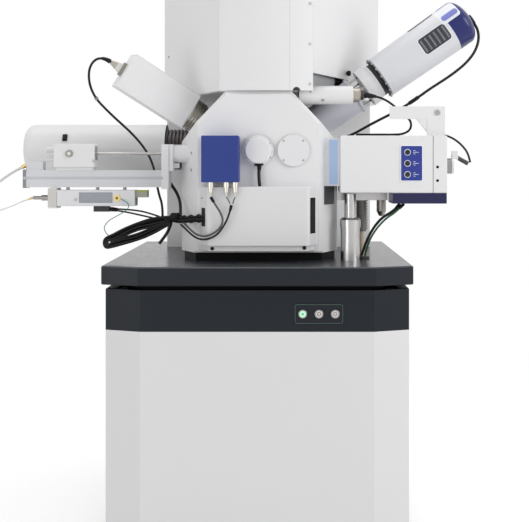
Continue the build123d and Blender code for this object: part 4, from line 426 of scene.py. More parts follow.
# Places that the part's source gives to the slanted detectors
eds_centre = (350.5, -120.0, 1311.6)
eds_tilt = radians(-35)
eds_origin = mm(*eds_centre)
eds_turn = (0.0, eds_tilt, 0.0)
se_origin = mm(-208.0, -146.0, 1212.0)
se_axes = Matrix(
    (
        (-0.51144, 0.31953, -0.7977),
        (-0.09941, -0.94406, -0.31442),
        (-0.85355, -0.0815, 0.5146),
    )
)
se_turn = tuple(se_axes.to_euler())


def slab(start, end):
    """Corners of a box across the slanted detector, between two distances along its axis."""
    return (start, -90, -90), (end, 90, 90)


def layered(name, colour, roughness, boxes, bump=0.02, drift=0.02, grain=900.0, turned=None):
    """Paint with boxes over it: the corners, colour, roughness and metallic of each."""
    make = Finish(name, colour, roughness)
    place = make.turned(*turned) if turned else None
    for low, high, *paint in boxes:
        make.patch(low, high, *paint, place=place)
    return make.finished(paint_coat, bump, Drift=drift, Grain=grain)


def door_box_finish():
    """Blue lacquer with a darker rim, and nickel plugs under it."""
    make = Finish("door_box_lacquer", box_blue, 0.4)
    face = make.box((-150.2, -380, 1012.2), (-53.2, -360, 1133.8), corner=2)
    rim = make.without(make.box((-153, -380, 1009), (-50, -290, 1137)), face)
    make.over(rim, tint(30, 54, 130), 0.35)
    make.patch((-160, -380, 960), (-40, -290, 1010), tint(206, 202, 194), 0.32, 1.0)
    return make.finished(paint_coat, 0.02, Drift=0.05, Grain=900.0)


def ebsd_finish():
    """White box with its seam, blue button label, navy tray, and metal fittings at its sides."""
    make = Finish("camera_box_finish", instrument_white, 0.4)
    make.patch((481.2, -310, 978), (482.8, -160, 1140), tint(96, 97, 98), 0.7)
    make.patch((366, -310, 940), (524, -160, 979.5), navy, 0.3)
    border = (389, -310, 1009.5), (455.5, -300.3, 1113.5)
    make.patch(*border, tint(238, 240, 246), 0.35, corner=6)
    label = (392.5, -310, 1013), (452, -300.3, 1110)
    make.patch(*label, tint(34, 52, 140), 0.3, corner=4)
    for height in (1091.8, 1061.2, 1030.6):
        make.over(make.disc((411, 0, height), 9.0), tint(232, 234, 238), 0.35)
        behind = make.box((370, -299, 900), (560, -100, 1300))
        ring = make.without(make.disc((411, 0, height), 7.4), behind)
        make.over(ring, tint(20, 20, 26), 0.4)
        for step in (4.5, 0.0, -4.5):
            row, length = height + step, 15 - 2 * abs(step)
            caption = (427, -310, row - 0.7), (427 + length, -300.3, row + 0.7)
            make.patch(*caption, tint(214, 220, 240), 0.4)
    make.patch((100, -260, 1020), (224, -190, 1090), bright_steel, 0.25, 1.0)
    make.patch((521.6, -262, 1028), (542, -208, 1078), tint(150, 150, 150), 0.35, 1.0)
    make.patch((521.6, -252, 996), (531, -218, 1022), tint(96, 98, 104), 0.5)
    make.patch((561, -246, 1040), (600, -224, 1097), tint(58, 58, 60), 0.45)
    return make.finished(paint_coat, 0.02, Drift=0.02, Grain=900.0)


def eds_finish():
    """Silver-grey body with three dark grilles whose floors are near black as painted shade, and a
    blue cap with a white tongue.

    Towards the chamber follow a pale ring, a black gap, a white disc and bare steel."""
    make = Finish("x_ray_detector_finish", tint(214, 215, 219), 0.36)
    along = make.turned(eds_origin, eds_turn)
    make.patch(*slab(244, 330), cap_blue, 0.3, place=along)
    make.patch((230, -90, 17), (292, -20, 90), tint(226, 228, 233), 0.36, place=along, corner=9)
    make.patch((236, -90, 25.5), (289, -20, 42), tint(118, 126, 198), 0.35, place=along, corner=8)
    vents = [
        ((142, -90, -25), (232, -30, 25)),
        ((142, 30, -25), (232, 90, 25)),
        ((142, -25, 30), (232, 25, 90)),
    ]
    rim = 1.5
    for low, high in vents:
        below = (low[0] - rim, *(v - rim if v == -25 else v for v in low[1:]))
        above = (high[0] + rim, *(v + rim if v == 25 else v for v in high[1:]))
        make.patch(below, above, tint(232, 233, 236), 0.4, place=along, corner=10)
    for low, high in vents:
        window = make.box(low, high, along, 9)
        make.over(window, tint(44, 46, 58), 0.4)
        # Painted shade: the floor of each vent round the slats, near black
        floor = make.both(window, make.disc((0, 0, 0), 65.0, (0, 1, 1), along))
        make.over(floor, tint(4, 4, 10), 0.5)
    make.patch(*slab(0.5, 4), tint(120, 122, 126), 0.4, place=along)
    make.patch(*slab(-400, 0.2), bright_steel, 0.28, 1.0, place=along)
    make.patch(*slab(-14, 0.2), tint(16, 16, 18), 0.5, place=along)
    make.patch(*slab(-55.5, -14), tint(222, 222, 224), 0.4, place=along)
    return make.finished(paint_coat, 0.015, Drift=0.03, Grain=1100.0)


def bsd_carriage_finish():
    """Pale block with a steel knob and rod."""
    make = Finish("carriage_finish", tint(222, 222, 223), 0.42)
    make.patch((-463, -235, 1070), (-130, -195, 1110), bright_steel, 0.22, 1.0)
    make.patch((-160, -240, 1050), (-130, -100, 1120), bright_steel, 0.25, 1.0)
    make.over(make.disc((-534, 0, 1089), 10.5), tint(146, 143, 138), 0.3, 0.9)
    make.over(make.disc((-534, 0, 1089), 4.2), tint(206, 205, 202), 0.3, 0.9)
    return make.finished(paint_coat, 0.02, Drift=0.03, Grain=800.0)


def preamp_finish():
    """Pale box with a bare grey plate, a gilt socket, a nickel end plate and coaxial plug."""
    make = Finish("preamplifier_finish", tint(219, 219, 221), 0.42)
    make.patch((-507, -250, 950), (-412, -242.2, 980), tint(152, 155, 162), 0.5, corner=1)
    make.over(make.disc((-399.5, 0, 963.5), 10), tint(222, 202, 138), 0.35, 0.7)
    make.over(make.disc((-399.5, 0, 963.5), 4), tint(120, 96, 52), 0.4, 0.7)
    make.patch((-596, -250, 938), (-570, -180, 990), tint(176, 174, 170), 0.35, 0.8)
    make.patch((-645, -250, 950), (-594, -180, 980), tint(150, 148, 144), 0.3, 1.0)
    make.patch((-349, -250, 940), (-310, -180, 1000), tint(158, 157, 146), 0.5)
    make.patch((-349, -250, 980), (-310, -180, 1000), tint(158, 158, 84), 0.5)
    make.patch((-470, -250, 924), (-420, -180, 941), tint(34, 34, 36), 0.5)
    return make.finished(paint_coat, 0.02, Drift=0.04, Grain=900.0)


def port_covers_finish():
    """White flanges and camera cap, with the black strap that guides its lead."""
    make = Finish("port_cover_finish", tint(226, 226, 228), 0.36)
    make.patch((-12, -330, 1040), (14, -290, 1061), tint(26, 26, 28), 0.5)
    make.over(make.ring((-1, 0, 1097), 45.2, 43.2), tint(176, 172, 172), 0.5)
    make.over(make.ring((97, 0, 1097), 45.2, 43.9), tint(188, 186, 186), 0.5)
    return make.finished(paint_coat, 0.015, Drift=0.02, Grain=900.0)


def pipes_finish():
    """Bright vacuum pipe work, dark bellows and a pale drain."""
    make = Finish("pipe_finish", tint(186, 185, 184), 0.24, 1.0)
    make.patch((277, -170, 862), (315, -130, 955), tint(104, 102, 98), 0.35, 1.0)
    make.patch((284, -164, 788), (308, -136, 864.5), tint(206, 196, 172), 0.4)
    make.patch((330, -170, 900), (372, -130, 956), tint(150, 146, 142), 0.35, 0.9)
    make.patch((274, -226, 789), (318, -182, 797), tint(40, 40, 42), 0.6)
    return make.finished(metal_grain, 0.01, Stretch=(300.0, 300.0, 40.0), Depth=0.2)


def chamber_finish():
    """White enamel outside, machined steel inside and round the door's mouth."""
    make = Finish("chamber_finish", instrument_white, 0.38)
    inside = (-195.5, -240, 840.5), (195.5, 172.5, 1240)
    mouth = (-175, -271.5, 840.5), (175, -239, 1240)
    for low, high in (inside, mouth):
        make.patch(low, high, tint(176, 176, 176), 0.3, 1.0, corner=1)
    return make.finished(paint_coat, 0.02, Drift=0.02, Grain=900.0)


def table_finish():
    """Dark lacquered table with a smoother top, and a bright line of painted highlight along its
    front edge.
    """
    make = Finish("table_finish", band_grey, 0.4, Specular_IOR_Level=0.22)
    make.patch((-420, -460, 789.2), (420, 460, 795), tint(66, 68, 72), 0.24)
    # Painted highlight: a lighter band just under the top, where the edge catches the light
    make.patch((-420, -460, 786.6), (420, 460, 789.2), tint(74, 78, 83), 0.3)
    return make.finished(paint_coat, 0.01, Drift=0.1, Grain=700.0)


def tower_front_finish():
    """White enamel, with a grey line of painted shade along the fold of the cover, and a near black
    half disc of painted shade in a grey rim for the notch at its lower edge.
    """
    make = Finish("tower_front_finish", instrument_white, 0.38)
    # Painted shade: a grey line where the cover folds
    make.patch((85.9, -320, 1262), (87.1, -270, 1790), tint(196, 197, 199), 0.5)
    # Painted shade: the notch's opening as a near black half disc inside a grey rim
    make.over(make.disc((106, 0, 1262), 12), tint(205, 205, 206), 0.5)
    make.over(make.disc((105, 0, 1262), 10), tint(24, 24, 26), 0.6)
    return make.finished(paint_coat, 0.02, Drift=0.02, Grain=900.0)


def button_panel_finish():
    """Dark film with a thin rounded outline."""
    make = Finish("button_film", band_grey, 0.3, Specular_IOR_Level=0.2)
    line = make.without(
        make.box((99.5, -450, 641.5), (225.1, -430, 691.7), corner=6),
        make.box((100.4, -451, 642.4), (224.2, -429, 690.8), corner=5.2),
    )
    make.over(line, tint(86, 112, 100), 0.5)
    return make.finished(paint_coat, 0.005, Drift=0.05, Grain=1500.0)


button_height = 666.6
button_x = {"power_button_on": 119.7, "power_button_standby": 162.3, "power_button_off": 204.9}


def button_finish(name, lit):
    """Steel push button; the lit one glows pale green round its mark."""
    make = Finish(name, tint(150, 148, 144), 0.28, 1.0)
    centre = (button_x[name], 0, button_height)
    face = make.disc(centre, 8.6)
    mark = make.ring(centre, 5.0, 3.4)
    if lit:
        make.over(face, tint(176, 214, 190), 0.4)
        make.over(make.disc(centre, 3.4), tint(96, 126, 108), 0.4)
        glow = make.mix(face, (0, 0, 0, 1), tint(120, 190, 150), colour=True)
        make.tree.links.new(glow, make.shader.inputs["Emission Color"])
        make.shader.inputs["Emission Strength"].default_value = 0.6
    else:
        make.over(face, tint(206, 203, 200), 0.2, 1.0)
        make.over(mark, tint(64, 62, 62), 0.5, 0.5)
    return make.finished(metal_grain, 0.01, Stretch=(500.0, 500.0, 500.0), Depth=0.15)


dress(door_box_finish(), "door_box")
dress(ebsd_finish(), "ebsd_camera")
dress(eds_finish(), "eds_detector")
# Lavender-grey anodised tube, and a white enamelled disc with a steel face
dress(layered("adaptor_finish", tint(196, 197, 206), 0.42, [
    (*slab(-55.2, -26.8), tint(222, 222, 224), 0.4),
    (*slab(-86.5, -55.2), tint(176, 174, 172), 0.3, 1.0),
    (*slab(-60, -55.2), tint(60, 60, 62), 0.5),
], 0.012, 0.04, 1200.0, turned=(eds_origin, eds_turn)), "eds_adaptor")
# White box on a ribbed steel stack, with a nickel plug at its end
dress(layered("electron_detector_finish", instrument_white, 0.4, [
    ((-90, -90, -120), (90, 90, -0.2), tint(168, 163, 155), 0.3, 1.0),
    ((-30, -30, 222.3), (30, 30, 232.3), tint(150, 146, 138), 0.35, 1.0),
    ((-30, -30, 232.3), (30, 30, 246), tint(222, 221, 217), 0.4),
    ((-30, -30, 246), (30, 30, 270), tint(176, 170, 160), 0.35, 0.6),
    ((-53.2, -90, 2), (-51.8, 90, 220), tint(188, 188, 190), 0.5),
], turned=(se_origin, se_turn)), "se_detector")
# White enamelled can with a brown-black ribbed flange
dress(layered("side_can_finish", instrument_white, 0.4, [
    ((-290, -60, 1020), (-220, 110, 1190), tint(64, 56, 54), 0.45),
]), "side_housing")
# Clear-anodised rail, grey end plate, and white plate, block and stub
dress(layered("rail_finish", tint(206, 207, 210), 0.38, [
    ((-274.2, -260, 980), (-190, -170, 1120), instrument_white, 0.4),
    ((-667, -260, 980), (-657.5, -170, 1050), tint(132, 133, 136), 0.5),
    ((-664, -251, 1016), (-270, -235, 1024), tint(186, 187, 191), 0.4),
], 0.015, 0.03, 1000.0), "bsd_support")
dress(bsd_carriage_finish(), "bsd_carriage")
dress(preamp_finish(), "bsd_preamp")
# White tube with a braided nickel plug
dress(layered("tube_detector_finish", instrument_white, 0.34, [
    ((264.6, -270, 1220), (300, -200, 1290), tint(172, 166, 156), 0.38, 0.8),
    ((286, -270, 1220), (300, -200, 1290), tint(44, 44, 46), 0.5),
]), "vpse_detector")
dress(port_covers_finish(), "port_covers")
# Pale blue protected face between white edges
dress(layered("flange_finish", tint(224, 225, 228), 0.36, [
    ((197, -270, 1002), (221, -186, 1128), tint(178, 202, 238), 0.2),
], 0.08, 0.25, 60.0), "ebsd_flange")
dress(pipes_finish(), "service_pipes")
dress(chamber_finish(), "chamber_body")
# White enamel, with near black painted shade inside the grip pocket and inside the outlet of the
# cords
dress(layered("drawer_finish", tint(220, 220, 221), 0.4, [
    # Painted shade: near black inside the grip pocket, then inside the cord outlet
    ((112, -341.4, 869.6), (161, -306.6, 967.4), tint(20, 18, 20), 0.6),
    ((-161, -336.4, 888.6), (-126, -307.6, 939.4), tint(24, 24, 26), 0.6),
    ((-170, -345, 815), (170, -290, 822.4), tint(70, 71, 73), 0.6),
    ((-160, -316, 964), (-148, -306, 968), tint(120, 122, 126), 0.5),
]), "drawer_cover")
dress(table_finish(), "table_top")
dress(tower_front_finish(), "column_cover_front")
dress(button_panel_finish(), "button_panel")
for name in button_x:
    dress(button_finish(name, name == "power_button_on"), name)


# Free cords
def keep(piece):
    """Puts a new object in the scene."""
    bpy.context.scene.collection.objects.link(piece)
    return piece


def cord_line(name, points, diameter, material, body):
    """A cord as one smooth spline through the control points of its route."""
    curve = bpy.data.curves.new(name, "CURVE")
    curve.dimensions = "3D"
    curve.bevel_depth = diameter / 2000.0
    curve.bevel_resolution = 3
    curve.resolution_u = 8
    curve.use_fill_caps = True
    spline = curve.splines.new("NURBS")
    spline.points.add(len(points) - 1)
    for point, place in zip(spline.points, points):
        point.co = (*mm(*place), 1.0)
    spline.order_u = 3
    spline.use_endpoint_u = True
    curve.materials.append(material)
    piece = keep(bpy.data.objects.new(name, curve))
    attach(piece, body)
    return piece


def baked(piece):
    """A mesh of what a piece's curve or modifiers give."""
    graph = bpy.context.evaluated_depsgraph_get()
    return bpy.data.meshes.new_from_object(piece.evaluated_get(graph))


def line_of(cord):
    """The points of a cord's own smooth line."""
    bare = cord.copy()
    bare.data = cord.data.copy()
    bare.data.bevel_depth = 0
    bpy.context.scene.collection.objects.link(bare)
    bpy.context.view_layer.update()
    mesh = baked(bare)
    places = [vertex.co.copy() for vertex in mesh.vertices]
    bpy.data.objects.remove(bare)
    bpy.data.meshes.remove(mesh)
    return places


def run_length(places):
    return sum((b - a).length for a, b in zip(places, places[1:]))


se_cable = cord_line("se_cable_line", [
    (-419, -229.2, 1348.1), (-433, -234.9, 1357.4), (-458, -236, 1358),
    (-478, -226, 1340), (-487, -208, 1312), (-486, -186, 1280),
    (-473, -165, 1247.6), (-447.9, -148.2, 1219.1),
    (-420.4, -144.9, 1192.2), (-391.5, -144.4, 1166.5), (-363.9, -145.4, 1139.5),
    (-339, -147.5, 1110.1), (-318.4, -150.1, 1077.5), (-305.8, -154.3, 1041.3),
    (-298.4, -163.5, 1004.6), (-289.2, -179.5, 970.7), (-276.5, -201.2, 941.5),
    (-272, -238, 912.8),
], 7, cable_black, "frame")
left_drop_cable = cord_line("left_drop_line", [
    (-270.9, -165, 1025.1), (-253.9, -175.1, 999.8), (-237.1, -189.1, 977.1),
    (-226.8, -211.1, 957.3), (-221, -236.1, 938.9), (-218.6, -268, 913.5),
], 9, cable_black, "frame")
preamp_lead_a = cord_line("preamp_lead_a", [
    (-422.5, -219, 933), (-388.2, -221, 931.5), (-354, -223.9, 928.9),
    (-320.2, -228.6, 924), (-280.5, -241, 911.5),
], 5, cable_black, "frame")
preamp_lead_b = cord_line("preamp_lead_b", [
    (-422.5, -231, 931), (-381.9, -233.4, 925.5), (-341.6, -236.1, 917),
    (-292.5, -243.5, 906.5),
], 5, cable_black, "frame")
teal_wire = cord_line("teal_wire", [
    (-387, -244.6, 961), (-378.8, -250.5, 955.8), (-368.3, -250.5, 950.8),
    (-365, -249.3, 940.8), (-370.8, -246.6, 931.3), (-379.6, -242.1, 925.2),
    (-388.5, -236.7, 919.9), (-397.2, -230.5, 915.4), (-405.9, -224.1, 911),
    (-414.6, -217.9, 906.4), (-423.3, -211.6, 901.8), (-431.5, -206.1, 895.8),
    (-438.9, -202.4, 887.6), (-444, -200.1, 877.5), (-441.1, -199.5, 866.6),
    (-433.7, -201.5, 857.9), (-424.7, -205, 851.5),
], 2.4, teal_sheath, "frame")
door_cable_a = cord_line("door_cable_a", [
    (-127, -361, 970.6), (-115.1, -364.6, 950.3), (-101.3, -365, 930.7),
    (-92.5, -365, 908.4), (-100.7, -365.2, 887), (-119.5, -364.9, 872.1),
    (-142, -363.8, 863.8), (-163, -353.9, 866.8), (-179.2, -338.9, 876.2),
    (-192.5, -320.5, 887), (-207, -294.5, 897),
], 5.5, cable_grey, "door")
door_cable_b = cord_line("door_cable_b", [
    (-70.9, -363, 948.9), (-76.2, -365.1, 926.6), (-84.6, -365, 905),
    (-96.4, -365.2, 885.1), (-111.2, -365.1, 867.5), (-131.8, -364.6, 857.3),
    (-154.1, -360.1, 855.1), (-172.8, -348.7, 862.3), (-188.4, -334, 873.4),
    (-201.2, -316.2, 883.4), (-215, -289.5, 892),
], 5.5, cable_black, "door")
cord_line(
    "door_twig_a", [(-85.0, -361.0, 970.6), (-78.7, -362.5, 961.8), (-74.4, -363.0, 951.6)],
    3, cable_grey, "door",
)
cord_line(
    "door_twig_b", [(-61.0, -361.0, 970.6), (-65.2, -362.5, 961.6), (-67.4, -363.0, 951.6)],
    3, cable_grey, "door",
)
camera_lead = cord_line(
    "camera_lead",
    [(3.0, -309.0, 1058.0), (1.5, -311.0, 1038.2), (2.0, -313.0, 1018.4), (4.0, -312.0, 998.6)],
    9, cable_black, "door",
)
eds_cable = cord_line("eds_cable_line", [
    (610, -120, 1493.4), (632.8, -130.3, 1468.5), (640.2, -141, 1427.9),
    (627.2, -148.4, 1387.8), (600.5, -151.9, 1353.9), (567.2, -153.7, 1326.3),
    (531.5, -153.8, 1301.8), (495, -152.4, 1278.7), (459.9, -150.8, 1253.3),
    (424, -149.4, 1229.1), (386.5, -148.2, 1207.6), (347.7, -146.8, 1188.3),
    (309.5, -145.6, 1168.1), (272.1, -145, 1146.3), (232, -146, 1130),
], 8, cable_black, "eds_detector")
vpse_cable = cord_line("vpse_cable_line", [
    (296, -235, 1254), (322.2, -235, 1252), (347.6, -235, 1245.3),
    (370.4, -235, 1232.4), (390.4, -235, 1215.2), (410.4, -235, 1198.2),
    (429.7, -235.8, 1180.4), (427.8, -237, 1155.7), (405.2, -239.5, 1143.6),
    (379, -241.3, 1142.1), (352.7, -242, 1142.3), (326.4, -241.1, 1142.3),
    (300.1, -239.1, 1142.3), (274, -236, 1142.3),
], 6.5, cable_black, "frame")
ebsd_side_cable = cord_line("ebsd_side_line", [
    (500, -235, 1141.6), (522.7, -235, 1141.8), (544.1, -235, 1134),
    (563, -235, 1121.4), (579.1, -235, 1105.3), (591.5, -235, 1086.3),
    (596, -235, 1064),
], 6, cable_black, "ebsd_camera")
tank_lead_a = cord_line("tank_lead_a", [
    (400, -228, 947), (379.8, -226.8, 925.5), (351.2, -223.5, 910.3),
    (330, -217.3, 886.3), (313.7, -211.2, 858.8), (301.1, -206.8, 829),
    (291, -205, 798),
], 8, cable_black, "frame")
tank_lead_b = cord_line("tank_lead_b", [
    (409, -237, 948), (388, -235.9, 925.3), (360.5, -232.8, 907.8),
    (338.5, -225.9, 884.5), (320.7, -218, 858.1), (308.2, -209.9, 829),
    (301, -202, 798),
], 6, green_sheath, "frame")
coax_lead = cord_line("coax_lead", [
    (-642.3, -215, 963.5), (-668.4, -216.7, 955.6), (-693.1, -217.8, 943.9),
    (-718.5, -218.3, 933.9), (-744.7, -218, 926.1), (-771.8, -216.2, 922.8),
    (-799, -214, 921),
], 3, hose_white, "frame")


def coil_turns(centre, radius, start, turns, gap, seed):
    """Control points of loose upright turns that differ in size, one after the other."""
    drift = random.Random(seed)
    steps = 12 * turns
    points = []
    for step in range(steps + 1):
        angle = radians(start) - 2 * pi * step / 12
        reach = radius * 1.035 + drift.uniform(-1.5, 1.5) + (3.0 if step // 12 % 2 else -2.0)
        lean = (step / steps - 0.5) * gap
        points.append(
            (centre[0] + reach * cos(angle), centre[1] + lean, centre[2] + reach * sin(angle))
        )
    return points


air_hose = cord_line(
    "air_hose_line",
    [
        (-660.0, -215.0, 1057.0), (-692.7, -215.0, 1041.4), (-722.7, -215.0, 1021.2),
        (-751.9, -215.1, 999.7), (-781.7, -214.7, 979.1), (-802.0, -217.0, 958.0),
    ]
    + coil_turns((-872, -212, 918), 62, 5, 3, 8.0, 4)[:-2]
    + [(-818.0, -208.0, 880.0), (-846.0, -210.0, 858.0), (-872.0, -212.0, 838.0)],
    7, hose_white, "frame",
)

# The hank's leaf: a middle line from the knot to its far end, and its half thickness there
hank_middle = [(-256, 897), (-300, 882), (-345, 867), (-385, 853), (-412, 843)]
hank_above = (15, 25, 24, 22, 17)
hank_below = (8, 20, 22, 19, 16)
hank_y = -240
hank_widest = -345
hank_knot = -280


def hank_edge(places, share, depth, drift):
    """One edge of a loop; places are on the leaf's middle line, each with its half thickness."""
    points = []
    for (x, z), half in places:
        open_by = share if x == hank_widest else share**2.2
        lean = depth * (0.5 if x > hank_knot else 1.0)
        points.append((x, hank_y + lean, z + half * open_by + drift.uniform(-1, 1)))
    return points


def hank_turn(share, depth, drift):
    """Control points of one loop: out along the upper edge, round the far end, and back below."""
    points = hank_edge(zip(hank_middle, hank_above), share, depth, drift)
    end_x, end_z = hank_middle[-1]
    reach = 10 + 15 * share
    points.append((end_x - reach * 0.8, hank_y + depth, end_z + 9 * share))
    points.append((end_x - reach, hank_y + depth * 0.9, end_z - 6 + drift.uniform(-2, 2)))
    points.append((end_x - reach * 0.75, hank_y + depth, end_z - 9 - 11 * share))
    below = [(place, -half) for place, half in zip(hank_middle, hank_below)]
    points += hank_edge(reversed(below), share, depth, drift)
    points.append((-243, hank_y - 3 + 0.4 * depth, 894))
    return points


def hank_cord(name, diameter, turns, start, seed):
    """One lead of the hank: from the outlet through the bundle, then its loops."""
    drift = random.Random(seed)
    up, across = start
    points = [
        (-146, -321 + across, 911 + up), (-176, -306 + across, 908 + up),
        (-204, -285 + across, 905 + up), (-232, -267 + across, 903 + up),
    ]
    for share, depth in turns:
        points += hank_turn(share, depth, drift)
    return cord_line(name, points[:-1], diameter, cable_black, "door")


hank_cords = [
    hank_cord("hank_cord_1", 7, [(1.0, -9.0), (0.62, -8.0), (0.35, -4.0)], (6.0, 0), 11),
    hank_cord("hank_cord_2", 6, [(0.84, -2.5), (0.4, -3.5), (1.0, 1.5)], (-6.0, -2), 12),
    hank_cord("hank_cord_3", 7, [(0.72, 5.0), (0.95, 8.5)], (0.5, 6), 13),
    hank_cord("hank_cord_4", 6, [(0.5, 2.0), (0.9, -6.0), (0.3, -9.0)], (-1.0, -7), 14),
]
tail_cord = cord_line(
    "hank_tail", [(-246, -256, 894), (-252, -250, 876), (-264, -249, 856), (-280, -250, 836)],
    9, cable_black, "door",
)


# Small parts: each is a closed mesh of its own, placed in the mesh
def skinned(part, rings):
    """Joins rings of vertices into a closed skin with a face at each end."""
    for low, high in zip(rings, rings[1:]):
        for k in range(len(low)):
            ahead = (k + 1) % len(low)
            part.faces.new((low[k], low[ahead], high[ahead], high[k]))
    part.faces.new(rings[0][::-1])
    part.faces.new(rings[-1])
    return part


class Piece:
    """A closed mesh made of bevelled blocks, turned parts and prisms, in mm."""

    def __init__(self):
        self.mesh = bmesh.new()

    def add(self, part, place, bevel):
        if bevel:
            bmesh.ops.bevel(
                part, geom=part.edges[:], offset=bevel, segments=2, affect="EDGES", profile=0.6
            )
        bmesh.ops.transform(part, matrix=place, verts=part.verts)
        data = bpy.data.meshes.new("part")
        part.to_mesh(data)
        part.free()
        self.mesh.from_mesh(data)
        bpy.data.meshes.remove(data)
        return self

    def block(self, place, size, bevel=0.6):
        part = bmesh.new()
        bmesh.ops.create_cube(part, size=1.0, matrix=Matrix.Diagonal((*size, 1.0)))
        return self.add(part, place, bevel)

    def prism(self, outline, low, high, bevel=0.5):
        """A plate with an outline in X and Z, from one Y to another."""
        part = bmesh.new()
        front = part.faces.new([part.verts.new((x, low, z)) for x, z in outline])
        grown = bmesh.ops.extrude_face_region(part, geom=[front])["geom"]
        for item in grown:
            if isinstance(item, bmesh.types.BMVert):
                item.co.y = high
        bmesh.ops.recalc_face_normals(part, faces=part.faces)
        return self.add(part, Matrix(), bevel)

    def turned(self, place, profile, steps=32):
        """A turned part round its own Z: radii and heights from one end to the other."""
        part = bmesh.new()
        turns = [2 * pi * k / steps for k in range(steps)]
        rings = [[part.verts.new((r * cos(a), r * sin(a), z)) for a in turns] for r, z in profile]
        return self.add(skinned(part, rings), place, 0)

    def done(self, name, body, material, slot):
        bmesh.ops.recalc_face_normals(self.mesh, faces=self.mesh.faces)
        bmesh.ops.scale(self.mesh, vec=(0.001, 0.001, 0.001), verts=self.mesh.verts)
        data = bpy.data.meshes.new(name)
        self.mesh.to_mesh(data)
        self.mesh.free()
        data.materials.append(material)
        data.shade_smooth()
        data.set_sharp_from_angle(angle=radians(35))
        piece = keep(bpy.data.objects.new(name, data))
        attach(piece, body)
        return piece


surface_trees = {}


def seat(node, place):
    """The nearest spot on a node's surface, in mm, and its normal."""
    if node not in surface_trees:
        data = nodes[node].data
        surface_trees[node] = BVHTree.FromPolygons(
            [vertex.co for vertex in data.vertices], [face.vertices for face in data.polygons]
        )
    spot, normal, _, _ = surface_trees[node].find_nearest(Vector(mm(*place)))
    return spot * 1000.0, normal


def upon(origin, normal):
    """A place whose Z is the surface's normal and whose Y points up."""
    z = Vector(normal).normalized()
    x = Vector((0, 0, 1)).cross(z)
    x = x.normalized() if x.length > 0.01 else Vector((1, 0, 0))
    turn = Matrix((x, z.cross(x), z)).transposed().to_4x4()
    return Matrix.Translation(Vector(origin)) @ turn


def head_tree():
    """Socket-head screws: one on each point, along the point's own axis."""
    tree = bpy.data.node_groups.new("screw_heads", "GeometryNodeTree")
    face = tree.interface
    face.new_socket(name="Points", in_out="INPUT", socket_type="NodeSocketGeometry")
    sockets = {
        name: face.new_socket(name=name, in_out="INPUT", socket_type="NodeSocketFloat")
        for name in ("Radius", "Height", "Socket")
    }
    paint = face.new_socket(name="Material", in_out="INPUT", socket_type="NodeSocketMaterial")
    face.new_socket(name="Screws", in_out="OUTPUT", socket_type="NodeSocketGeometry")

    put = put_in(tree, family="")
    given = put("NodeGroupInput").outputs
    deep = put("ShaderNodeMath", {0: given["Height"], 1: 2.0}, operation="MULTIPLY").outputs[0]
    drum = put(
        "GeometryNodeMeshCylinder", {"Vertices": 24, "Radius": given["Radius"], "Depth": deep}
    )
    top = drum.outputs["Top"]

    def grow(mesh, selected, by):
        """Pushes the selected faces out; gives the mesh and its new selection."""
        feed = {"Mesh": mesh, "Selection": selected, "Offset Scale": by, "Individual": False}
        made = put("GeometryNodeExtrudeMesh", feed).outputs
        return made["Mesh"], made["Top"]

    def shrink(mesh, selected, to):
        feed = {"Geometry": mesh, "Selection": selected, "Scale": to}
        return put("GeometryNodeScaleElements", feed).outputs["Geometry"]

    rim, top = grow(drum.outputs["Mesh"], top, 0.0003)
    rim = shrink(rim, top, 0.86)
    lip, top = grow(rim, top, 0.00001)
    lip = shrink(lip, top, given["Socket"])
    down = put("ShaderNodeMath", {0: given["Height"], 1: -0.8}, operation="MULTIPLY").outputs[0]
    head, _ = grow(lip, top, down)
    axis = put("GeometryNodeInputNamedAttribute", {"Name": "axis"}, data_type="FLOAT_VECTOR")
    turn = put("FunctionNodeAlignRotationToVector", {"Vector": axis}, axis="Z")
    spread = put(
        "GeometryNodeInstanceOnPoints",
        {"Points": given["Points"], "Instance": head, "Rotation": turn},
    )
    real = put("GeometryNodeRealizeInstances", {"Geometry": spread})
    painting = {"Geometry": real.outputs[0], "Material": given["Material"]}
    dressed = put("GeometryNodeSetMaterial", painting)
    out = put("NodeGroupOutput")
    tree.links.new(dressed.outputs[0], out.inputs[0])
    return tree, sockets, paint


screw_heads, head_sockets, head_paint = head_tree()


def screws(name, body, material, radius, height, socket, spots):
    """Screw heads seated on the surfaces of nodes."""
    seats = [seat(node, place) for node, place in spots]
    data = bpy.data.meshes.new(name)
    data.from_pydata([tuple(spot * 0.001) for spot, _ in seats], [], [])
    axes = data.attributes.new("axis", "FLOAT_VECTOR", "POINT")
    for entry, (_, normal) in zip(axes.data, seats):
        entry.vector = normal
    piece = keep(bpy.data.objects.new(name, data))
    heads = piece.modifiers.new("heads", "NODES")
    heads.node_group = screw_heads
    for key, value in (("Radius", radius), ("Height", height)):
        heads[head_sockets[key].identifier] = value / 1000.0
    heads[head_sockets["Socket"].identifier] = socket
    heads[head_paint.identifier] = material
    bpy.context.view_layer.update()
    made = baked(piece)
    piece.modifiers.clear()
    piece.data = made
    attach(piece, body)
    return piece


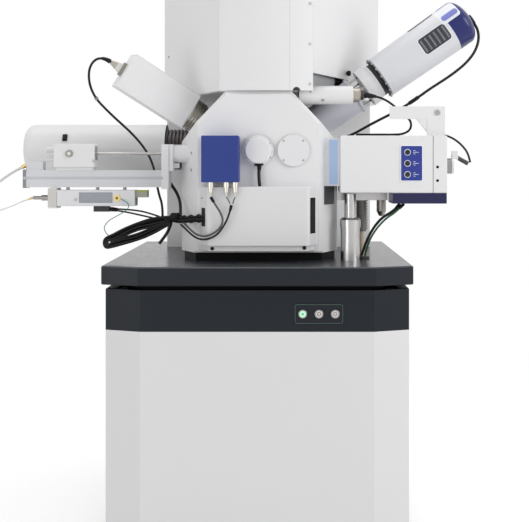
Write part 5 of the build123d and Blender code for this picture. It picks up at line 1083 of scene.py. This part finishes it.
screws("tower_screws", "frame", steel, 4.2, 1.4, 0.55, [
    ("column_cover_left", (-301.2, 167.7, 1405.4)),
    ("column_cover_front", (142.5, -287.8, 1504.2)),
    ("column_cover_front", (142.5, -287.8, 1392.0)),
    ("column_cover_front", (142.5, -287.8, 1281.2)),
    ("chamber_body", (-189.0, -253.8, 1090.5)),
    ("chamber_body", (-189.0, -253.8, 1042.8)),
    ("bsd_support", (-612.1, -232.0, 1042.7)),
    ("bsd_preamp", (-515.1, -243.0, 959.7)),
    ("vpse_detector", (179.7, -256.2, 1238.9)),
])
camera_port = [(x, -303, z) for x in (-34, 32) for z in (1078, 1116)]
blank_port = [(x, -303, z) for x in (70, 124) for z in (1070, 1124)]
screws("flange_screws", "door", steel, 3.0, 1.2, 0.55, [
    ("port_covers", place) for place in camera_port + blank_port
])
screws("camera_screws", "ebsd_camera", black_paint, 3.8, 0.6, 0.7, [
    ("ebsd_camera", (494.1, -300, 1051.2)), ("ebsd_camera", (494.1, -300, 1013.7)),
])
screws("bracket_bolt", "ebsd_camera", steel, 8.0, 2.6, 0.5, [
    ("ebsd_camera", (498, -272.5, 1203)),
])
screws("carriage_screw", "bsd_carriage", steel, 4.0, 1.2, 0.55, [
    ("bsd_carriage", (-464.7, -245, 1068.1)),
])
screws("drawer_feet", "door", rubber, 5.0, 2.0, 0.4, [
    ("drawer_cover", (-124.4, -339, 829.4)), ("drawer_cover", (126.0, -339, 831)),
])

grey_film = painted("grey_film", tint(74, 75, 78), 0.5, 0.05, 0.02)
lining_grey = painted("lining_grey", tint(150, 151, 153), 0.5, 0.04, 0.02)
tie_grey = painted("tie_nylon", tint(150, 152, 152), 0.4, 0.08, 0.02)
fitting_gold = metal("brass_fitting", tint(206, 178, 122), 0.3)
along_cover = upon((182.0, -180.0, 1301.0), (0.91, -0.41, 0))
Piece().block(along_cover, (180, 84, 2), 0.4).done("tower_lining", "frame", lining_grey, "frame")
spot, normal = seat("chamber_body", (197.4, -236.6, 971.9))
Piece().block(upon(spot + 0.4 * normal, normal), (69, 52, 1.6), 0.3).done(
    "facet_pad", "frame", grey_film, "rubber")
spot, normal = seat("column_cover_right", (257.9, -49.8, 1332.2))
knob_profile = [(3, -1), (3, 3), (7, 3.4), (8, 4.4), (8, 11), (7, 12), (3, 12.4)]
Piece().turned(upon(spot, normal), knob_profile).done("cover_knob", "frame", rubber, "rubber")
spot, normal = seat("side_housing", (-590.6, -40.8, 1138.5))
hook = Piece().block(upon(spot + 2 * normal, normal), (14, 22, 5), 1.0)
hook.block(upon(spot + 7 * normal + Vector((0, 0, -7)), normal), (8, 7, 9), 1.0)
hook.done("housing_hook", "frame", rubber, "rubber")
Piece().prism([(438, 1187), (472, 1187), (472, 1145)], -271.5, -262.0).done(
    "bracket_gusset", "ebsd_camera", white_enamel, "white")

# Vent slats of the slanted detector, across its axis and on the floor of its front vent
vent_place = Matrix.Translation(eds_centre) @ Matrix.Rotation(eds_tilt, 4, "Y")
slat_turn = Matrix.Rotation(radians(-35), 4, "Z")
vent = Piece()
for row in range(6):
    for step in range(9):
        near = vent_place @ Vector((149 + 15 * row, -75, -20 + 5 * step))
        floor, facing = seat("eds_detector", near)
        vent.block(upon(floor + 0.6 * facing, facing) @ slat_turn, (2.2, 5.8, 1.8), 0.3)
vent.done("vent_slats", "eds_detector", lining_grey, "black_plastic")
bolt_turns = [pi * k / 8 for k in range(16)]
screws("eds_bolts", "eds_detector", steel, 3.2, 2.4, 0.5, [
    ("eds_detector", tuple(vent_place @ Vector((-7, 80 * cos(a), 80 * sin(a))))) for a in bolt_turns
])


sleeve_steps, sleeve_sides = 16, 20


def sleeve(cord, name, start, length, first, last, material, ribs=0.0):
    """A sleeve round a cord's own line, from a distance or round a place, with tapering radii."""
    places = [place * 1000 for place in line_of(cord)]
    if not isinstance(start, (int, float)):
        near = min(range(len(places)), key=lambda k: (places[k] - Vector(start)).length)
        start = run_length(places[: near + 1]) - length / 2
    path, run = [], 0.0
    for a, b in zip(places, places[1:]):
        step = (b - a).length
        while len(path) <= sleeve_steps and run + step >= start + length * len(path) / sleeve_steps:
            share = (start + length * len(path) / sleeve_steps - run) / step
            path.append((a.lerp(b, share), (b - a).normalized()))
        run += step
    part = bmesh.new()
    rings = []
    for count, (centre, ahead) in enumerate(path):
        side = ahead.cross(Vector((0.13, 1, 0.07))).normalized()
        over = ahead.cross(side)
        radius = first + (last - first) * count / sleeve_steps
        if count in (0, sleeve_steps):
            radius *= 0.86
        elif ribs and count % 3 == 2:
            radius *= 1 - ribs
        turns = [2 * pi * k / sleeve_sides for k in range(sleeve_sides)]
        rings.append(
            [part.verts.new(centre + radius * (side * cos(a) + over * sin(a))) for a in turns]
        )
    made = Piece().add(skinned(part, rings), Matrix(), 0)
    return made.done(name, cord["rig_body"], material, "cable")


# Boots, clips and ties: cord, name, start or place, length, both radii, material, rib depth
along_cords = {}
for cord, *sizes in [
    (se_cable, "se_boot", 2, 26, 7.4, 4.6, rubber, 0.14),
    (se_cable, "se_clip", (-473, -165, 1251), 9, 5.4, 5.4, tie_grey),
    (left_drop_cable, "drop_boot", 1, 16, 6.6, 5.6, rubber, 0.1),
    (preamp_lead_a, "preamp_boot_a", 1, 20, 5.6, 3.4, rubber, 0.14),
    (preamp_lead_b, "preamp_boot_b", 1, 20, 5.6, 3.4, rubber, 0.14),
    (door_cable_a, "door_boot_a", 1, 16, 4.6, 3.8, rubber, 0.12),
    (door_cable_b, "door_boot_b", 1, 16, 4.6, 3.8, rubber, 0.12),
    (camera_lead, "camera_boot", 1, 14, 6.6, 5.4, rubber, 0.1),
    (eds_cable, "eds_boot", 1, 30, 8.6, 5.2, rubber, 0.12),
    (eds_cable, "eds_sleeve", (444.8, -150.7, 1245.7), 34, 5.6, 5.6, rubber),
    (vpse_cable, "vpse_boot", 1, 34, 9, 4.6, rubber, 0.12),
    (vpse_cable, "vpse_clip_a", (398, -235, 1203.6), 6, 4.8, 4.8, tie_grey),
    (vpse_cable, "vpse_clip_b", (418, -235, 1192), 6, 4.8, 4.8, tie_grey),
    (ebsd_side_cable, "ebsd_boot", 1, 24, 7.6, 4.4, rubber, 0.12),
    (tank_lead_a, "tank_boot_a", 1, 18, 6.4, 5.0, rubber, 0.1),
    (tank_lead_b, "tank_boot_b", 1, 18, 5.2, 4.0, rubber, 0.1),
    (air_hose, "hose_fitting", 1, 16, 6, 5.2, fitting_gold),
    (coax_lead, "coax_plug", 1, 12, 3.2, 2.8, fitting_gold),
    (hank_cords[0], "hank_tie", 92, 24, 14.5, 13.0, rubber, 0.12),
    (hank_cords[2], "bundle_tie_a", 18, 5, 12, 12.0, rubber),
    (hank_cords[2], "bundle_tie_b", 44, 5, 12, 12.0, rubber),
    (hank_cords[2], "bundle_tie_c", 70, 5, 12, 12.0, rubber),
]:
    along_cords.setdefault(cord, []).append(sleeve(cord, *sizes))
along_cords[hank_cords[0]] += along_cords.pop(hank_cords[2])

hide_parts("se_cable")
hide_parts("left_drop_cable")
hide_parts("preamp_leads")
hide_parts("door_cables")
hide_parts("eds_cable")
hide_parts("vpse_cable")
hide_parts("ebsd_side_cable")
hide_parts("tank_leads")
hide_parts("air_hoses")
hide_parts("hose_coil")
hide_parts("cable_hank")

for piece, diameter, stiffness, lay in [
    (se_cable, 7, "medium", "hanging"),
    (left_drop_cable, 9, "medium", "hanging"),
    (preamp_lead_a, 5, "limp", "hanging"),
    (preamp_lead_b, 5, "limp", "hanging"),
    (teal_wire, 2.4, "limp", "hanging"),
    (door_cable_a, 5.5, "medium", "hanging"),
    (door_cable_b, 5.5, "medium", "hanging"),
    (camera_lead, 9, "stiff", "hanging"),
    (eds_cable, 8, "stiff", "hanging"),
    (vpse_cable, 6.5, "medium", "hanging"),
    (ebsd_side_cable, 6, "medium", "hanging"),
    (tank_lead_a, 8, "medium", "hanging"),
    (tank_lead_b, 6, "medium", "hanging"),
    (coax_lead, 3, "limp", "hanging"),
    (air_hose, 7, "medium", "coiled"),
    (hank_cords[0], 7, "medium", "coiled"),
    (hank_cords[1], 6, "medium", "coiled"),
    (hank_cords[2], 7, "medium", "coiled"),
    (hank_cords[3], 6, "medium", "coiled"),
    (tail_cord, 9, "stiff", "hanging"),
]:
    line = line_of(piece)
    print("cord", piece.name, round(run_length(line) * 1000), "mm")


# Floor
def pale_floor():
    mesh = bpy.data.meshes.new("floor")
    mesh.from_pydata([(-9, -6, 0), (9, -6, 0), (9, 12, 0), (-9, 12, 0)], [], [(0, 1, 2, 3)])
    floor = keep(bpy.data.objects.new("floor", mesh))
    material = bpy.data.materials.new("floor_white")
    material.use_nodes = True
    tree = material.node_tree
    put = put_in(tree)
    shader = tree.nodes["Principled BSDF"]
    shader.inputs["Base Color"].default_value = (0.9, 0.9, 0.9, 1.0)
    shader.inputs["Roughness"].default_value = 0.9
    shader.inputs["Specular IOR Level"].default_value = 0.0
    seen = seen_rays(put)
    place = put("TexCoord").outputs["Object"]
    far = put("VectorMath", {0: place}, operation="LENGTH")
    away = put("MapRange", {"Value": far.outputs["Value"], "From Min": 0.8, "From Max": 3.2})
    share = put("Math", {0: seen, 1: away.outputs["Result"]}, operation="MULTIPLY")
    glow = put("Emission", {"Color": (1, 1, 1, 1), "Strength": 1.0})
    near = put("Math", {0: seen, 1: 0.34}, operation="MULTIPLY")
    veil = put("Emission", {"Color": (1, 1, 1, 1), "Strength": near})
    lit = put("AddShader", {0: shader, 1: veil})
    both = put("MixShader", {0: share, 1: lit, 2: glow})
    tree.links.new(both.outputs[0], tree.nodes["Material Output"].inputs["Surface"])
    mesh.materials.append(material)


pale_floor()
